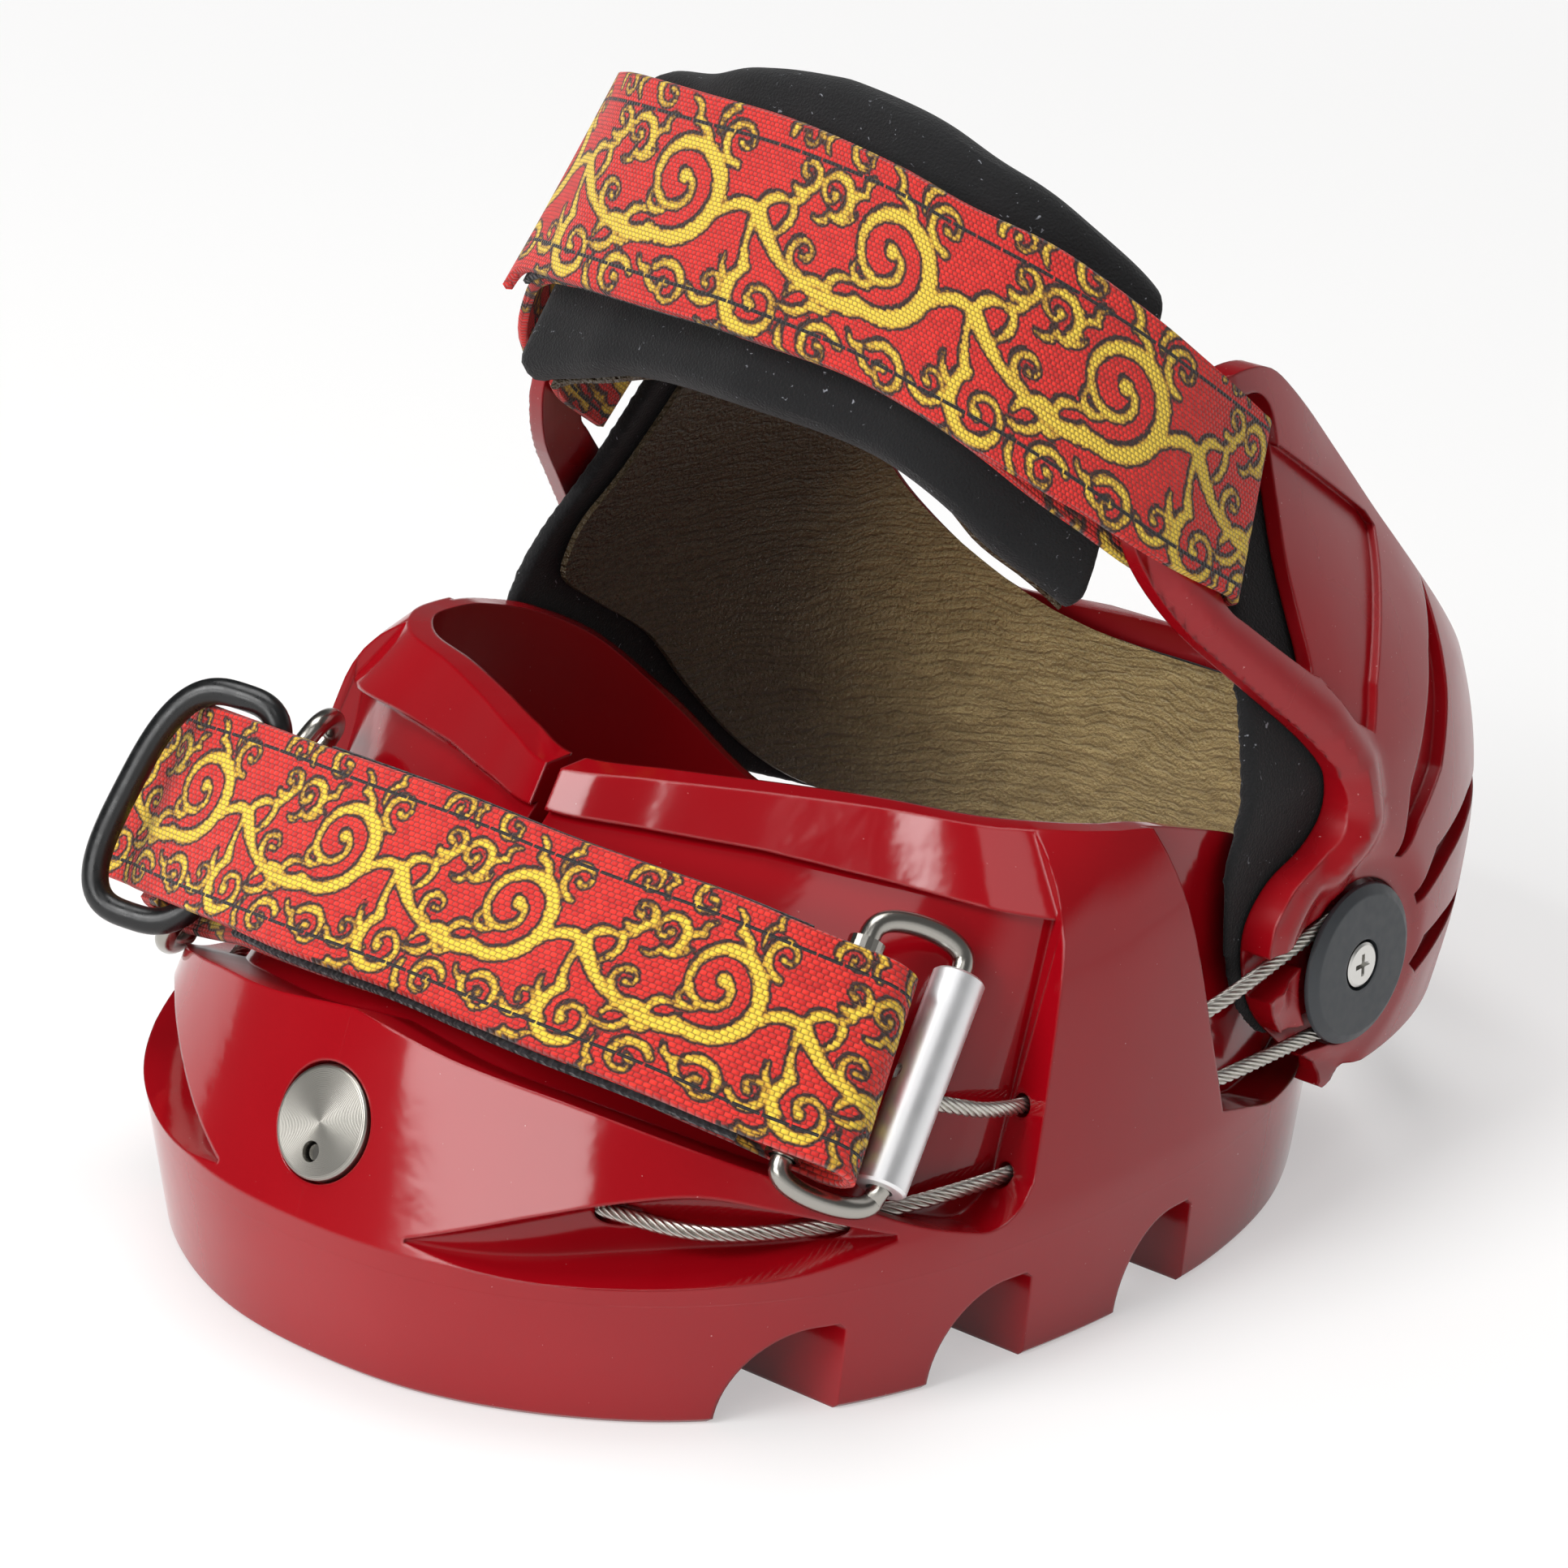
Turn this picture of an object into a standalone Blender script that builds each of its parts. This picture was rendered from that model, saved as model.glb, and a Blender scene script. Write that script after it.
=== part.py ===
"""Horse hoof boot: a moulded shell, a hinged heel piece, steel cables and two webbing straps.

The toe points to -Y, the heel to +Y, and the sole stands on z = 0. All lengths are in metres.
"""
import math

import bmesh
import bpy
from mathutils import Vector

for old_object in list(bpy.data.objects):
    bpy.data.objects.remove(old_object, do_unlink=True)

# Driving sizes of the whole boot
FIT_GAP = 0.0003
CUT_OVERRUN = 0.006
SHELL_HALF_WIDTH = 0.0623
REFERENCE_HALF_WIDTH = 0.0623
SHELL_TOE_REACH = 0.0762
SHELL_HEEL_REACH = 0.0615
LIP_HEIGHT = 0.018
COLLAR_HEIGHT = 0.059
WEBBING_THICKNESS = 0.0013
CABLE_RADIUS = 0.001
TUNNEL_CLEARANCE = 0.0006

# Places of the captivator's pivot, which the pulleys, ears and cables share
PIVOT_Y = 0.034
PIVOT_Z = 0.0305
PULLEY_PLANE_DEPTH = 0.0012
PULLEY_PLANE_X = SHELL_HALF_WIDTH - PULLEY_PLANE_DEPTH
PULLEY_CABLE_RADIUS = 0.0072

COLUMNS_PER_STATION = 3
MERGE_DISTANCE = 0.000005
SMOOTH_ANGLE = math.radians(35)


def material(name, colour, roughness, metallic=0.0):
    """A plain Principled material of the part's own colour."""
    made = bpy.data.materials.new(name)
    made.use_nodes = True
    shader = made.node_tree.nodes["Principled BSDF"]
    shader.inputs["Base Color"].default_value = (*colour, 1.0)
    shader.inputs["Roughness"].default_value = roughness
    shader.inputs["Metallic"].default_value = metallic
    made.diffuse_color = (*colour, 1.0)
    return made


RED_SHELL = material("red_polyurethane", (0.42, 0.012, 0.016), 0.22)
RED_WEBBING = material("printed_webbing", (0.62, 0.05, 0.02), 0.75)
BLACK_TAPE = material("black_hook_tape", (0.02, 0.02, 0.022), 0.9)
BLACK_FOAM = material("black_neoprene", (0.015, 0.015, 0.017), 0.9)
TAN_LINING = material("tan_lining", (0.30, 0.24, 0.13), 0.55)
GREY_NYLON = material("grey_nylon", (0.06, 0.065, 0.07), 0.45)
BLACK_RING = material("black_coated_steel", (0.012, 0.012, 0.013), 0.35)
STEEL = material("stainless_steel", (0.60, 0.59, 0.57), 0.28, 1.0)
STEEL_ROPE = material("steel_rope", (0.50, 0.49, 0.46), 0.4, 1.0)
ALUMINIUM = material("aluminium", (0.80, 0.81, 0.83), 0.22, 1.0)


def curve_point(points, place):
    """The point at a place, counted in stations, on a smooth curve through the points."""
    last = len(points) - 1
    place = min(max(place, 0.0), float(last))
    first = min(int(place), last - 1)
    t = place - first
    before = points[max(first - 1, 0)]
    here = points[first]
    after = points[first + 1]
    beyond = points[min(first + 2, last)]
    result = []
    for a, b, c, d in zip(before, here, after, beyond):
        bend = 2 * a - 5 * b + 4 * c - d
        swing = 3 * b - a - 3 * c + d
        result.append((2 * b + (c - a) * t + bend * t * t + swing * t ** 3) / 2)
    return result


def curve_run(points, steps_each):
    """A smooth run of points with the given number of steps between two stations."""
    count = (len(points) - 1) * steps_each
    return [curve_point(points, i / steps_each) for i in range(count + 1)]


def table_value(table, place):
    """A straight-line reading of a table of (place, value) pairs."""
    if place <= table[0][0]:
        return table[0][1]
    for (a, low), (b, high) in zip(table, table[1:]):
        if place <= b:
            return low + (high - low) * (place - a) / (b - a)
    return table[-1][1]


def add_mesh(name, points, faces, finish, flat=False):
    """A closed mesh object with its faces turned outwards."""
    mesh = bpy.data.meshes.new(name)
    mesh.from_pydata([tuple(p) for p in points], [], faces)
    body = bmesh.new()
    body.from_mesh(mesh)
    bmesh.ops.remove_doubles(body, verts=body.verts, dist=MERGE_DISTANCE)
    bmesh.ops.dissolve_degenerate(body, edges=body.edges, dist=MERGE_DISTANCE)
    bmesh.ops.recalc_face_normals(body, faces=body.faces)
    if body.calc_volume(signed=True) < 0:
        bmesh.ops.reverse_faces(body, faces=body.faces)
    body.to_mesh(mesh)
    body.free()
    if finish:
        mesh.materials.append(finish)
    if not flat:
        mesh.shade_smooth()
        mesh.set_sharp_from_angle(angle=SMOOTH_ANGLE)
    thing = bpy.data.objects.new(name, mesh)
    bpy.context.scene.collection.objects.link(thing)
    return thing


def loft(name, sections, finish, closed_run=False, flat=False):
    """A solid through closed sections of equal counts; open runs get a face at each end."""
    size = len(sections[0])
    points = [p for section in sections for p in section]
    faces = []
    last = len(sections) if closed_run else len(sections) - 1
    for i in range(last):
        low = i * size
        high = ((i + 1) % len(sections)) * size
        for j in range(size):
            k = (j + 1) % size
            faces.append((low + j, low + k, high + k, high + j))
    if not closed_run:
        faces.append(tuple(range(size)))
        faces.append(tuple(range(len(points) - size, len(points))))
    return add_mesh(name, points, faces, finish, flat)


def round_section(centre, along, radius, sides, aside=None):
    """A ring of points about a centre, square to a direction."""
    along = Vector(along).normalized()
    aside = Vector(aside) if aside else along.orthogonal()
    aside = (aside - along * aside.dot(along)).normalized()
    over = along.cross(aside)
    turn = 2 * math.pi / sides
    return [centre + radius * (math.cos(i * turn) * aside + math.sin(i * turn) * over)
            for i in range(sides)]


def tube(name, points, radius, sides, finish=None, closed_run=False):
    """A round tube along points, whose sections are carried along without twisting."""
    points = [Vector(p) for p in points]
    count = len(points)
    sections = []
    aside = None
    for i, point in enumerate(points):
        behind = points[(i - 1) % count] if closed_run or i > 0 else point
        ahead = points[(i + 1) % count] if closed_run or i < count - 1 else point
        along = (ahead - behind).normalized()
        aside = aside or along.orthogonal()
        aside = (aside - along * aside.dot(along)).normalized()
        sections.append(round_section(point, along, radius, sides, aside))
    return loft(name, sections, finish, closed_run)


def turned(name, origin, axis, profile, sides, finish):
    """A turned solid: profile holds (distance along the axis, radius), from end to end."""
    axis = Vector(axis).normalized()
    aside = axis.orthogonal()
    sections = []
    for along, radius in profile:
        centre = Vector(origin) + axis * along
        sections.append(round_section(centre, axis, radius, sides, aside))
    return loft(name, sections, finish)


def mark_cutter(thing):
    """Keep a cutting shape out of the model."""
    thing.hide_render = True
    thing.display_type = "WIRE"
    return thing


def boolean(thing, other, operation):
    """Cut, join or intersect with another closed shape, which stays as a guide."""
    mark_cutter(other)
    step = thing.modifiers.new(operation.lower() + "_" + other.name, "BOOLEAN")
    step.operation = operation
    step.solver = "EXACT"
    step.object = other


def cord(name, points, radius, finish):
    """A cable as a bevelled curve with filled caps."""
    data = bpy.data.curves.new(name, "CURVE")
    data.dimensions = "3D"
    data.bevel_depth = radius
    data.bevel_resolution = 2
    data.use_fill_caps = True
    spline = data.splines.new("POLY")
    spline.points.add(len(points) - 1)
    for slot, point in zip(spline.points, points):
        slot.co = (*point, 1.0)
    data.materials.append(finish)
    thing = bpy.data.objects.new(name, data)
    bpy.context.scene.collection.objects.link(thing)
    return thing


def mirrored(point):
    """The same place on the boot's left side."""
    return Vector((-point[0], point[1], point[2]))


def fitted(points):
    """Places drawn for the reference shell, moved with the width of this one."""
    return tuple((x * SHELL_HALF_WIDTH / REFERENCE_HALF_WIDTH, y, z) for x, y, z in points)


# Boot shell: one moulded cup with a thick toe bumper, a strap bed, buckle recesses and cleats.
# Each outline runs from the toe, station 0, round one side to the heel's centre, station 14.
BASE_OUTLINE_SHARES = (
    (0.0, -1.0), (0.235, -0.982), (0.455, -0.915), (0.655, -0.805), (0.81, -0.655),
    (0.915, -0.475), (0.973, -0.275), (0.997, -0.07), (0.985, 0.17), (0.925, 0.43),
    (0.83, 0.66), (0.69, 0.85), (0.49, 0.96), (0.25, 1.0), (0.0, 1.0))
RIM_OUTLINE_SHARES = (
    (0.0, -1.0), (0.205, -0.85), (0.40, -0.67), (0.60, -0.50), (0.79, -0.355),
    (0.912, -0.16), (0.968, 0.05), (0.995, 0.20), (1.0, 0.355), (0.985, 0.54),
    (0.93, 0.72), (0.80, 0.89), (0.59, 0.98), (0.30, 1.0), (0.0, 1.0))
RIM_HEIGHT_SHARES = (
    (0, 1.0), (1, 0.997), (2, 0.99), (3, 0.982), (4, 0.97), (5, 0.955), (6, 0.93),
    (7, 0.888), (8, 0.828), (9, 0.72), (10, 0.545), (11, 0.33), (12, 0.235), (13, 0.21), (14, 0.21))
BULGE_SHARES = ((0, 0.42), (1, 0.42), (2, 0.45), (3, 0.50), (4, 0.60), (5, 0.75), (6, 0.9), (7, 1.0))
LAST_STATION = len(BASE_OUTLINE_SHARES) - 1
SIDE_LEAN = 0.0061
TOE_LEAN = 0.0417
HEEL_LEAN = 0.0035
RIM_HALF_WIDTH = SHELL_HALF_WIDTH - SIDE_LEAN
RIM_TOE_REACH = SHELL_TOE_REACH - TOE_LEAN
RIM_HEEL_REACH = SHELL_HEEL_REACH - HEEL_LEAN
FLOOR_INSET = 0.0021
CUP_FLOOR_HEIGHT = 0.009
SIDE_WALL = 0.0088
TOE_WALL = 0.0137
HEEL_WALL = 0.007
CUP_HALF_WIDTH = SHELL_HALF_WIDTH - SIDE_WALL
CUP_TOE_REACH = SHELL_TOE_REACH - TOE_WALL
CUP_HEEL_REACH = SHELL_HEEL_REACH - HEEL_WALL
RIM_SIDE_WALL = 0.0034
RIM_TOE_WALL = 0.004
RIM_HEEL_WALL = 0.0045
CUP_RIM_HALF_WIDTH = RIM_HALF_WIDTH - RIM_SIDE_WALL
CUP_RIM_TOE_REACH = RIM_TOE_REACH - RIM_TOE_WALL
CUP_RIM_HEEL_REACH = RIM_HEEL_REACH - RIM_HEEL_WALL
LIP_SHARE_OF_LOW_RIM = 0.6
WALL_ROWS = 7
TOE_CURL_POWER = 8


def outline_xy(shares, station, half_width, toe_reach, heel_reach):
    """Plan position on an outline; a negative station lies on the boot's left side."""
    x_share, y_share = curve_point(shares, abs(station))
    x = max(x_share, 0.0) * half_width * (1 if station >= 0 else -1)
    y = y_share * (toe_reach if y_share < 0 else heel_reach)
    return Vector((x, y, 0.0))


def base_xy(station, inset=0.0):
    return outline_xy(BASE_OUTLINE_SHARES, station, SHELL_HALF_WIDTH - inset,
                      SHELL_TOE_REACH - inset, SHELL_HEEL_REACH - inset)


def rim_height(station):
    return COLLAR_HEIGHT * table_value(RIM_HEIGHT_SHARES, abs(station))


def lip_height(station):
    return min(LIP_HEIGHT, rim_height(station) * LIP_SHARE_OF_LOW_RIM)


def inward(station):
    """The level direction from the wall towards the hoof."""
    step = 1 / COLUMNS_PER_STATION
    ahead = base_xy(min(station + step, LAST_STATION))
    behind = base_xy(max(station - step, -LAST_STATION))
    along = (ahead - behind).normalized()
    return Vector((-along.y, along.x, 0.0))


def wall_point(station, height, depth=0.0):
    """A point of the outer wall, or the given depth under it."""
    lip = lip_height(station)
    rise = (height - lip) / (rim_height(station) - lip)
    lean = table_value(BULGE_SHARES, abs(station))
    share = lean * rise + (1 - lean) * max(rise, 0.0) ** TOE_CURL_POWER if rise < 1 else rise
    low = base_xy(station)
    high = outline_xy(RIM_OUTLINE_SHARES, station, RIM_HALF_WIDTH, RIM_TOE_REACH, RIM_HEEL_REACH)
    place = low.lerp(high, max(share, 0.0)) + inward(station) * depth
    place.z = height
    return place


def cup_point(station, rise):
    """A point of the wall's inside, from the cup's floor at 0 to the rim at 1."""
    low = outline_xy(BASE_OUTLINE_SHARES, station, CUP_HALF_WIDTH, CUP_TOE_REACH, CUP_HEEL_REACH)
    high = outline_xy(RIM_OUTLINE_SHARES, station, CUP_RIM_HALF_WIDTH, CUP_RIM_TOE_REACH,
                      CUP_RIM_HEEL_REACH)
    place = low.lerp(high, rise)
    place.z = CUP_FLOOR_HEIGHT + (rim_height(station) - CUP_FLOOR_HEIGHT) * rise
    return place


def shell_section(station):
    """One upright section of the cup's wall, from the floor up outside and down inside."""
    lip = lip_height(station)
    floor_edge = base_xy(station, FLOOR_INSET)
    section = [floor_edge, wall_point(station, lip)]
    for i in range(1, WALL_ROWS + 1):
        height = lip + (rim_height(station) - lip) * i / WALL_ROWS
        section.append(wall_point(station, height))
    section += [cup_point(station, 1.0), cup_point(station, 0.5), cup_point(station, 0.0)]
    return section


def build_shell():
    columns = 2 * LAST_STATION * COLUMNS_PER_STATION
    sections = [shell_section(-LAST_STATION + i / COLUMNS_PER_STATION) for i in range(columns)]
    size = len(sections[0])
    points = [p for section in sections for p in section]
    faces = []
    for i in range(columns):
        low = i * size
        high = ((i + 1) % columns) * size
        for j in range(size - 1):
            faces.append((low + j, low + j + 1, high + j + 1, high + j))
    faces.append(tuple(i * size for i in range(columns)))
    faces.append(tuple(i * size + size - 1 for i in range(columns)))
    return add_mesh("boot_shell", points, faces, RED_SHELL)


shell = build_shell()

# Strap bed and buckle recesses: one groove round the front, behind the bumper's ridge
RIDGE_HEIGHT_SHARES = (
    (0, 0.68), (1, 0.64), (2, 0.593), (3, 0.525), (4, 0.44), (5, 0.385), (6, 0.375))
BED_DEPTH_SHARES = ((0, 1.0), (2, 0.85), (4, 0.80), (6, 0.78))
BED_DROP_SHARES = ((0, 1.0), (3, 0.5), (4, 0.25), (6, 0.2))
BED_DEPTH = 0.0088
BED_DROP = 0.0046
BED_TOP_DEPTH = 0.0030
COLLAR_EDGE_DEPTH = 0.0016
COLLAR_DROP_SHARES = ((0, 0.07), (2, 0.09), (4, 0.13), (6, 0.16))
COLLAR_BEVEL_DEPTH = 0.0002
COLLAR_LEAN_SHARE = 1.1
RECESS_END_LOW_STATION = 5.87
RECESS_END_HIGH_STATION = 4.62
BED_CUTTER_STEPS = 20
CUTTER_REACH = 0.02


def bed_section(side_share):
    """One upright section of the cutter that forms the strap bed."""
    low_station = side_share * RECESS_END_LOW_STATION
    high_station = side_share * RECESS_END_HIGH_STATION
    place = abs(low_station)
    ridge = COLLAR_HEIGHT * table_value(RIDGE_HEIGHT_SHARES, place)
    depth = BED_DEPTH * table_value(BED_DEPTH_SHARES, place)
    drop = BED_DROP * table_value(BED_DROP_SHARES, place)
    corner = wall_point(low_station, ridge, depth)
    corner.z -= drop
    edge = wall_point(low_station, ridge)
    rim = rim_height(high_station)
    collar = rim - COLLAR_HEIGHT * table_value(COLLAR_DROP_SHARES, abs(high_station))
    rim_edge = wall_point(high_station, rim)
    out = -inward(high_station)
    bed_top = rim_edge + out * ((rim - collar) * COLLAR_LEAN_SHARE - BED_TOP_DEPTH)
    bed_top.z = collar
    collar_edge = bed_top + out * (BED_TOP_DEPTH - COLLAR_EDGE_DEPTH)
    bevel = rim_edge + out * COLLAR_BEVEL_DEPTH
    over = bevel + out * CUT_OVERRUN * 0.5
    over.z = rim + CUT_OVERRUN
    far_top = over + out * CUTTER_REACH
    far_low = edge + (edge - corner) * 2.0
    return [corner, corner.lerp(bed_top, 0.5), bed_top, collar_edge, bevel, over, far_top, far_low]


bed_sections = []
for step in range(-BED_CUTTER_STEPS, BED_CUTTER_STEPS + 1):
    bed_sections.append(bed_section(step / BED_CUTTER_STEPS))
bed_cutter = loft("bed_cutter", bed_sections, None)
boolean(shell, bed_cutter, "DIFFERENCE")

# Step behind the shell's middle: the wall is thinner there and leaves a ledge for the captivator
STEP_LOW_STATION = 7.75
STEP_HIGH_STATION = 6.05
STEP_LEDGE_SHARES = ((7.75, 1.0), (8.2, 0.91), (8.6, 0.81), (9.2, 0.775), (14, 0.76))
STEP_LEDGE_HEIGHT = 0.0203
FLANGE_THICKNESS = 0.0024
FLANGE_RIM_TRIM = 0.0009
STEP_CUTTER_STEPS = 16


def step_section(round_share):
    """One upright section of the cutter that thins the rear wall, from right front to left front."""
    side = 1 if round_share <= 0 else -1
    forward = abs(round_share)
    low_station = side * (LAST_STATION - forward * (LAST_STATION - STEP_LOW_STATION))
    high_station = side * (LAST_STATION - forward * (LAST_STATION - STEP_HIGH_STATION))
    ledge = STEP_LEDGE_HEIGHT * table_value(STEP_LEDGE_SHARES, abs(low_station))
    rise = (ledge - CUP_FLOOR_HEIGHT) / (rim_height(low_station) - CUP_FLOOR_HEIGHT)
    out = -inward(low_station)
    corner = cup_point(low_station, min(rise, 1.0)) + out * FLANGE_THICKNESS
    corner.z = ledge
    top = wall_point(high_station, rim_height(high_station), FLANGE_RIM_TRIM)
    top.z = max(top.z, ledge + FLANGE_THICKNESS)
    middle = corner.lerp(top, 0.5)
    over = top.copy()
    over.z += CUT_OVERRUN
    far = -inward(high_station) * CUTTER_REACH
    return [corner, middle, top, over, over + far, corner + out * CUTTER_REACH]


step_sections = []
for step in range(-STEP_CUTTER_STEPS, STEP_CUTTER_STEPS + 1):
    step_sections.append(step_section(step / STEP_CUTTER_STEPS))
step_cutter = loft("step_cutter", step_sections, None)
boolean(shell, step_cutter, "DIFFERENCE")


def box(name, low, high):
    """A box between two corners, for cutting."""
    (x0, y0, z0), (x1, y1, z1) = low, high
    sections = [[(x, y0, z0), (x, y1, z0), (x, y1, z1), (x, y0, z1)] for x in (x0, x1)]
    return loft(name, sections, None, flat=True)


def prism(name, outline, x_from, x_to):
    """A straight bar along X with the given (y, z) outline, for cutting."""
    sections = [[(x, y, z) for y, z in outline] for x in (x_from, x_to)]
    return loft(name, sections, None, flat=True)


# Slit in the middle of the front, between the two flaps
SLIT_HALF_WIDTH = 0.0011
SLIT_FLOOR = 0.0475
slit_cutter = box("slit_cutter", (-SLIT_HALF_WIDTH, -SHELL_TOE_REACH, SLIT_FLOOR),
                  (SLIT_HALF_WIDTH, 0, COLLAR_HEIGHT + CUT_OVERRUN))
boolean(shell, slit_cutter, "DIFFERENCE")

# Cable pockets low in the bumper, one each side: (station, low height, high height, depth)
POCKET_SECTIONS = (
    (1.0, 0.0192, 0.0196, 0.0004), (1.5, 0.0180, 0.0218, 0.0022), (2.0, 0.0172, 0.0240, 0.0036),
    (2.6, 0.0168, 0.0262, 0.0046), (3.2, 0.0168, 0.0270, 0.0050), (3.8, 0.0174, 0.0250, 0.0046),
    (4.3, 0.0186, 0.0226, 0.0034), (4.7, 0.0198, 0.0206, 0.0012))
POCKET_REACH = 0.006
for side in (1, -1):
    pocket_sections = []
    for place in curve_run(POCKET_SECTIONS, 2):
        station, low_height, high_height, depth = place
        station *= side
        height = (low_height + high_height) / 2
        far = wall_point(station, height, -POCKET_REACH)
        back = wall_point(station, height, depth)
        rise = Vector((0, 0, (high_height - low_height) / 2))
        near = wall_point(station, height, depth / 2)
        pocket_sections.append([far - rise, near - rise, back - rise * 0.6, back + rise * 0.3,
                                near + rise, far + rise * 1.5])
    pocket_name = "pocket_cutter_right" if side > 0 else "pocket_cutter_left"
    boolean(shell, loft(pocket_name, pocket_sections, None), "DIFFERENCE")

# Cleat notches under the outer edge: (front y, rear y, inner x), each with an arched front
NOTCHES = ((-0.0560, -0.0445, 0.034), (-0.0345, -0.0215, 0.043), (-0.0075, 0.0045, 0.0445))
NOTCH_HEIGHT = 0.0112
NOTCH_ARCH_STEPS = 6
for number, (front, rear, inner) in enumerate(NOTCHES):
    outline = [(rear, -CUT_OVERRUN), (rear, NOTCH_HEIGHT * 0.93),
               (rear - (rear - front) * 0.07, NOTCH_HEIGHT)]
    for step in range(NOTCH_ARCH_STEPS + 1):
        turn = math.pi / 2 * step / NOTCH_ARCH_STEPS
        y = front + (rear - front) * 0.72 * (1 - math.sin(turn))
        outline.append((y, NOTCH_HEIGHT * math.cos(turn)))
    outline.append((front, -CUT_OVERRUN))
    for side in (1, -1):
        notch_name = f"notch_cutter_{number}_{'right' if side > 0 else 'left'}"
        notch = prism(notch_name, outline, side * inner, side * (SHELL_HALF_WIDTH + CUT_OVERRUN))
        boolean(shell, notch, "DIFFERENCE")

# Toe lock: a steel barrel on a slanted axis, which clamps both cable ends inside the bumper
LOCK_FACE = Vector((0, -0.0722, 0.0283))
LOCK_INWARD = Vector((0, 0.891, -0.454)).normalized()
LOCK_DISC_RADIUS = 0.0065
LOCK_DISC_THICKNESS = 0.0024
LOCK_BODY_RADIUS = 0.0045
LOCK_LENGTH = 0.0105
LOCK_BEVEL = 0.0005
LOCK_CLAMP_DEPTH = 0.0065
LOCK_SIDES = 40
CABLE_BORE_RADIUS = CABLE_RADIUS + TUNNEL_CLEARANCE
LOCK_HOLE_DROP = 0.0034
LOCK_HOLE_RADIUS = 0.0012
LOCK_HOLE_DEPTH = 0.0042
SCREW_RADIUS = 0.0009
SCREW_RECESS = 0.0008

lock = turned("cable_lock_barrel", LOCK_FACE, LOCK_INWARD, (
    (0, LOCK_DISC_RADIUS - LOCK_BEVEL), (LOCK_BEVEL, LOCK_DISC_RADIUS),
    (LOCK_DISC_THICKNESS, LOCK_DISC_RADIUS), (LOCK_DISC_THICKNESS, LOCK_BODY_RADIUS),
    (LOCK_LENGTH - LOCK_BEVEL, LOCK_BODY_RADIUS),
    (LOCK_LENGTH, LOCK_BODY_RADIUS - LOCK_BEVEL)), LOCK_SIDES, STEEL)
seat_cutter = turned("lock_seat_cutter", LOCK_FACE, LOCK_INWARD, (
    (-CUT_OVERRUN, LOCK_DISC_RADIUS + FIT_GAP), (LOCK_DISC_THICKNESS + FIT_GAP, LOCK_DISC_RADIUS + FIT_GAP),
    (LOCK_DISC_THICKNESS + FIT_GAP, LOCK_BODY_RADIUS + FIT_GAP),
    (LOCK_LENGTH + FIT_GAP, LOCK_BODY_RADIUS + FIT_GAP)), LOCK_SIDES, None)
boolean(shell, seat_cutter, "DIFFERENCE")
clamp_place = LOCK_FACE + LOCK_INWARD * LOCK_CLAMP_DEPTH
clamp_cutter = turned("clamp_bore_cutter", clamp_place - Vector((CUTTER_REACH, 0, 0)), (1, 0, 0), (
    (0, CABLE_BORE_RADIUS), (2 * CUTTER_REACH, CABLE_BORE_RADIUS)), 12, None)
boolean(lock, clamp_cutter, "DIFFERENCE")
LOCK_DOWN = Vector((0, -LOCK_INWARD.z, LOCK_INWARD.y)) * -1
hole_place = LOCK_FACE + LOCK_DOWN * LOCK_HOLE_DROP
lock_hole_cutter = turned("lock_hole_cutter", hole_place, LOCK_INWARD, (
    (-CUT_OVERRUN, LOCK_HOLE_RADIUS), (LOCK_HOLE_DEPTH, LOCK_HOLE_RADIUS)), 16, None)
boolean(lock, lock_hole_cutter, "DIFFERENCE")
turned("cable_lock_screw", hole_place, LOCK_INWARD, (
    (SCREW_RECESS, SCREW_RADIUS), (LOCK_HOLE_DEPTH - FIT_GAP, SCREW_RADIUS)), 14, STEEL)

# Cables: each runs from the lock through the bumper and the side wall, round its pulley and back
CABLE_START = (
    (0.0014, clamp_place.y, clamp_place.z), (0.0055, clamp_place.y, clamp_place.z), (0.0140, -0.0642, 0.0246),
    (0.0220, -0.0608, 0.0238), (0.0310, -0.0575, 0.0228), (0.0380, -0.0515, 0.0213),
    (0.0455, -0.0430, 0.0203), (0.0505, -0.0370, 0.0212), (0.0535, -0.0300, 0.0215),
    (0.0552, -0.0200, 0.0212), (0.0572, -0.0080, 0.0217), (0.0596, 0.0050, 0.0226),
    (0.0608, 0.0160, 0.0230))
CABLE_END = (
    (0.0606, 0.0130, 0.0330), (0.0588, 0.0030, 0.0309), (0.0568, -0.0070, 0.0290),
    (0.0552, -0.0165, 0.0285), (0.0556, -0.0245, 0.0305), (0.0552, -0.0290, 0.0325))
CABLE_START = fitted(CABLE_START)
CABLE_END = fitted(CABLE_END)
CABLE_ARC_STEPS = 8
CABLE_STEPS = 2
CABLE_LOWER_ANGLE = math.radians(-85)
CABLE_UPPER_ANGLE = math.radians(103)


def cable_route(side):
    """The whole run of one cable."""
    points = list(CABLE_START)
    for step in range(CABLE_ARC_STEPS + 1):
        turn = CABLE_LOWER_ANGLE + (CABLE_UPPER_ANGLE - CABLE_LOWER_ANGLE) * step / CABLE_ARC_STEPS
        points.append((PULLEY_PLANE_X, PIVOT_Y + PULLEY_CABLE_RADIUS * math.cos(turn),
                       PIVOT_Z + PULLEY_CABLE_RADIUS * math.sin(turn)))
    points += CABLE_END
    run = curve_run(points, CABLE_STEPS)
    return [(x * side, y, z) for x, y, z in run]


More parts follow.
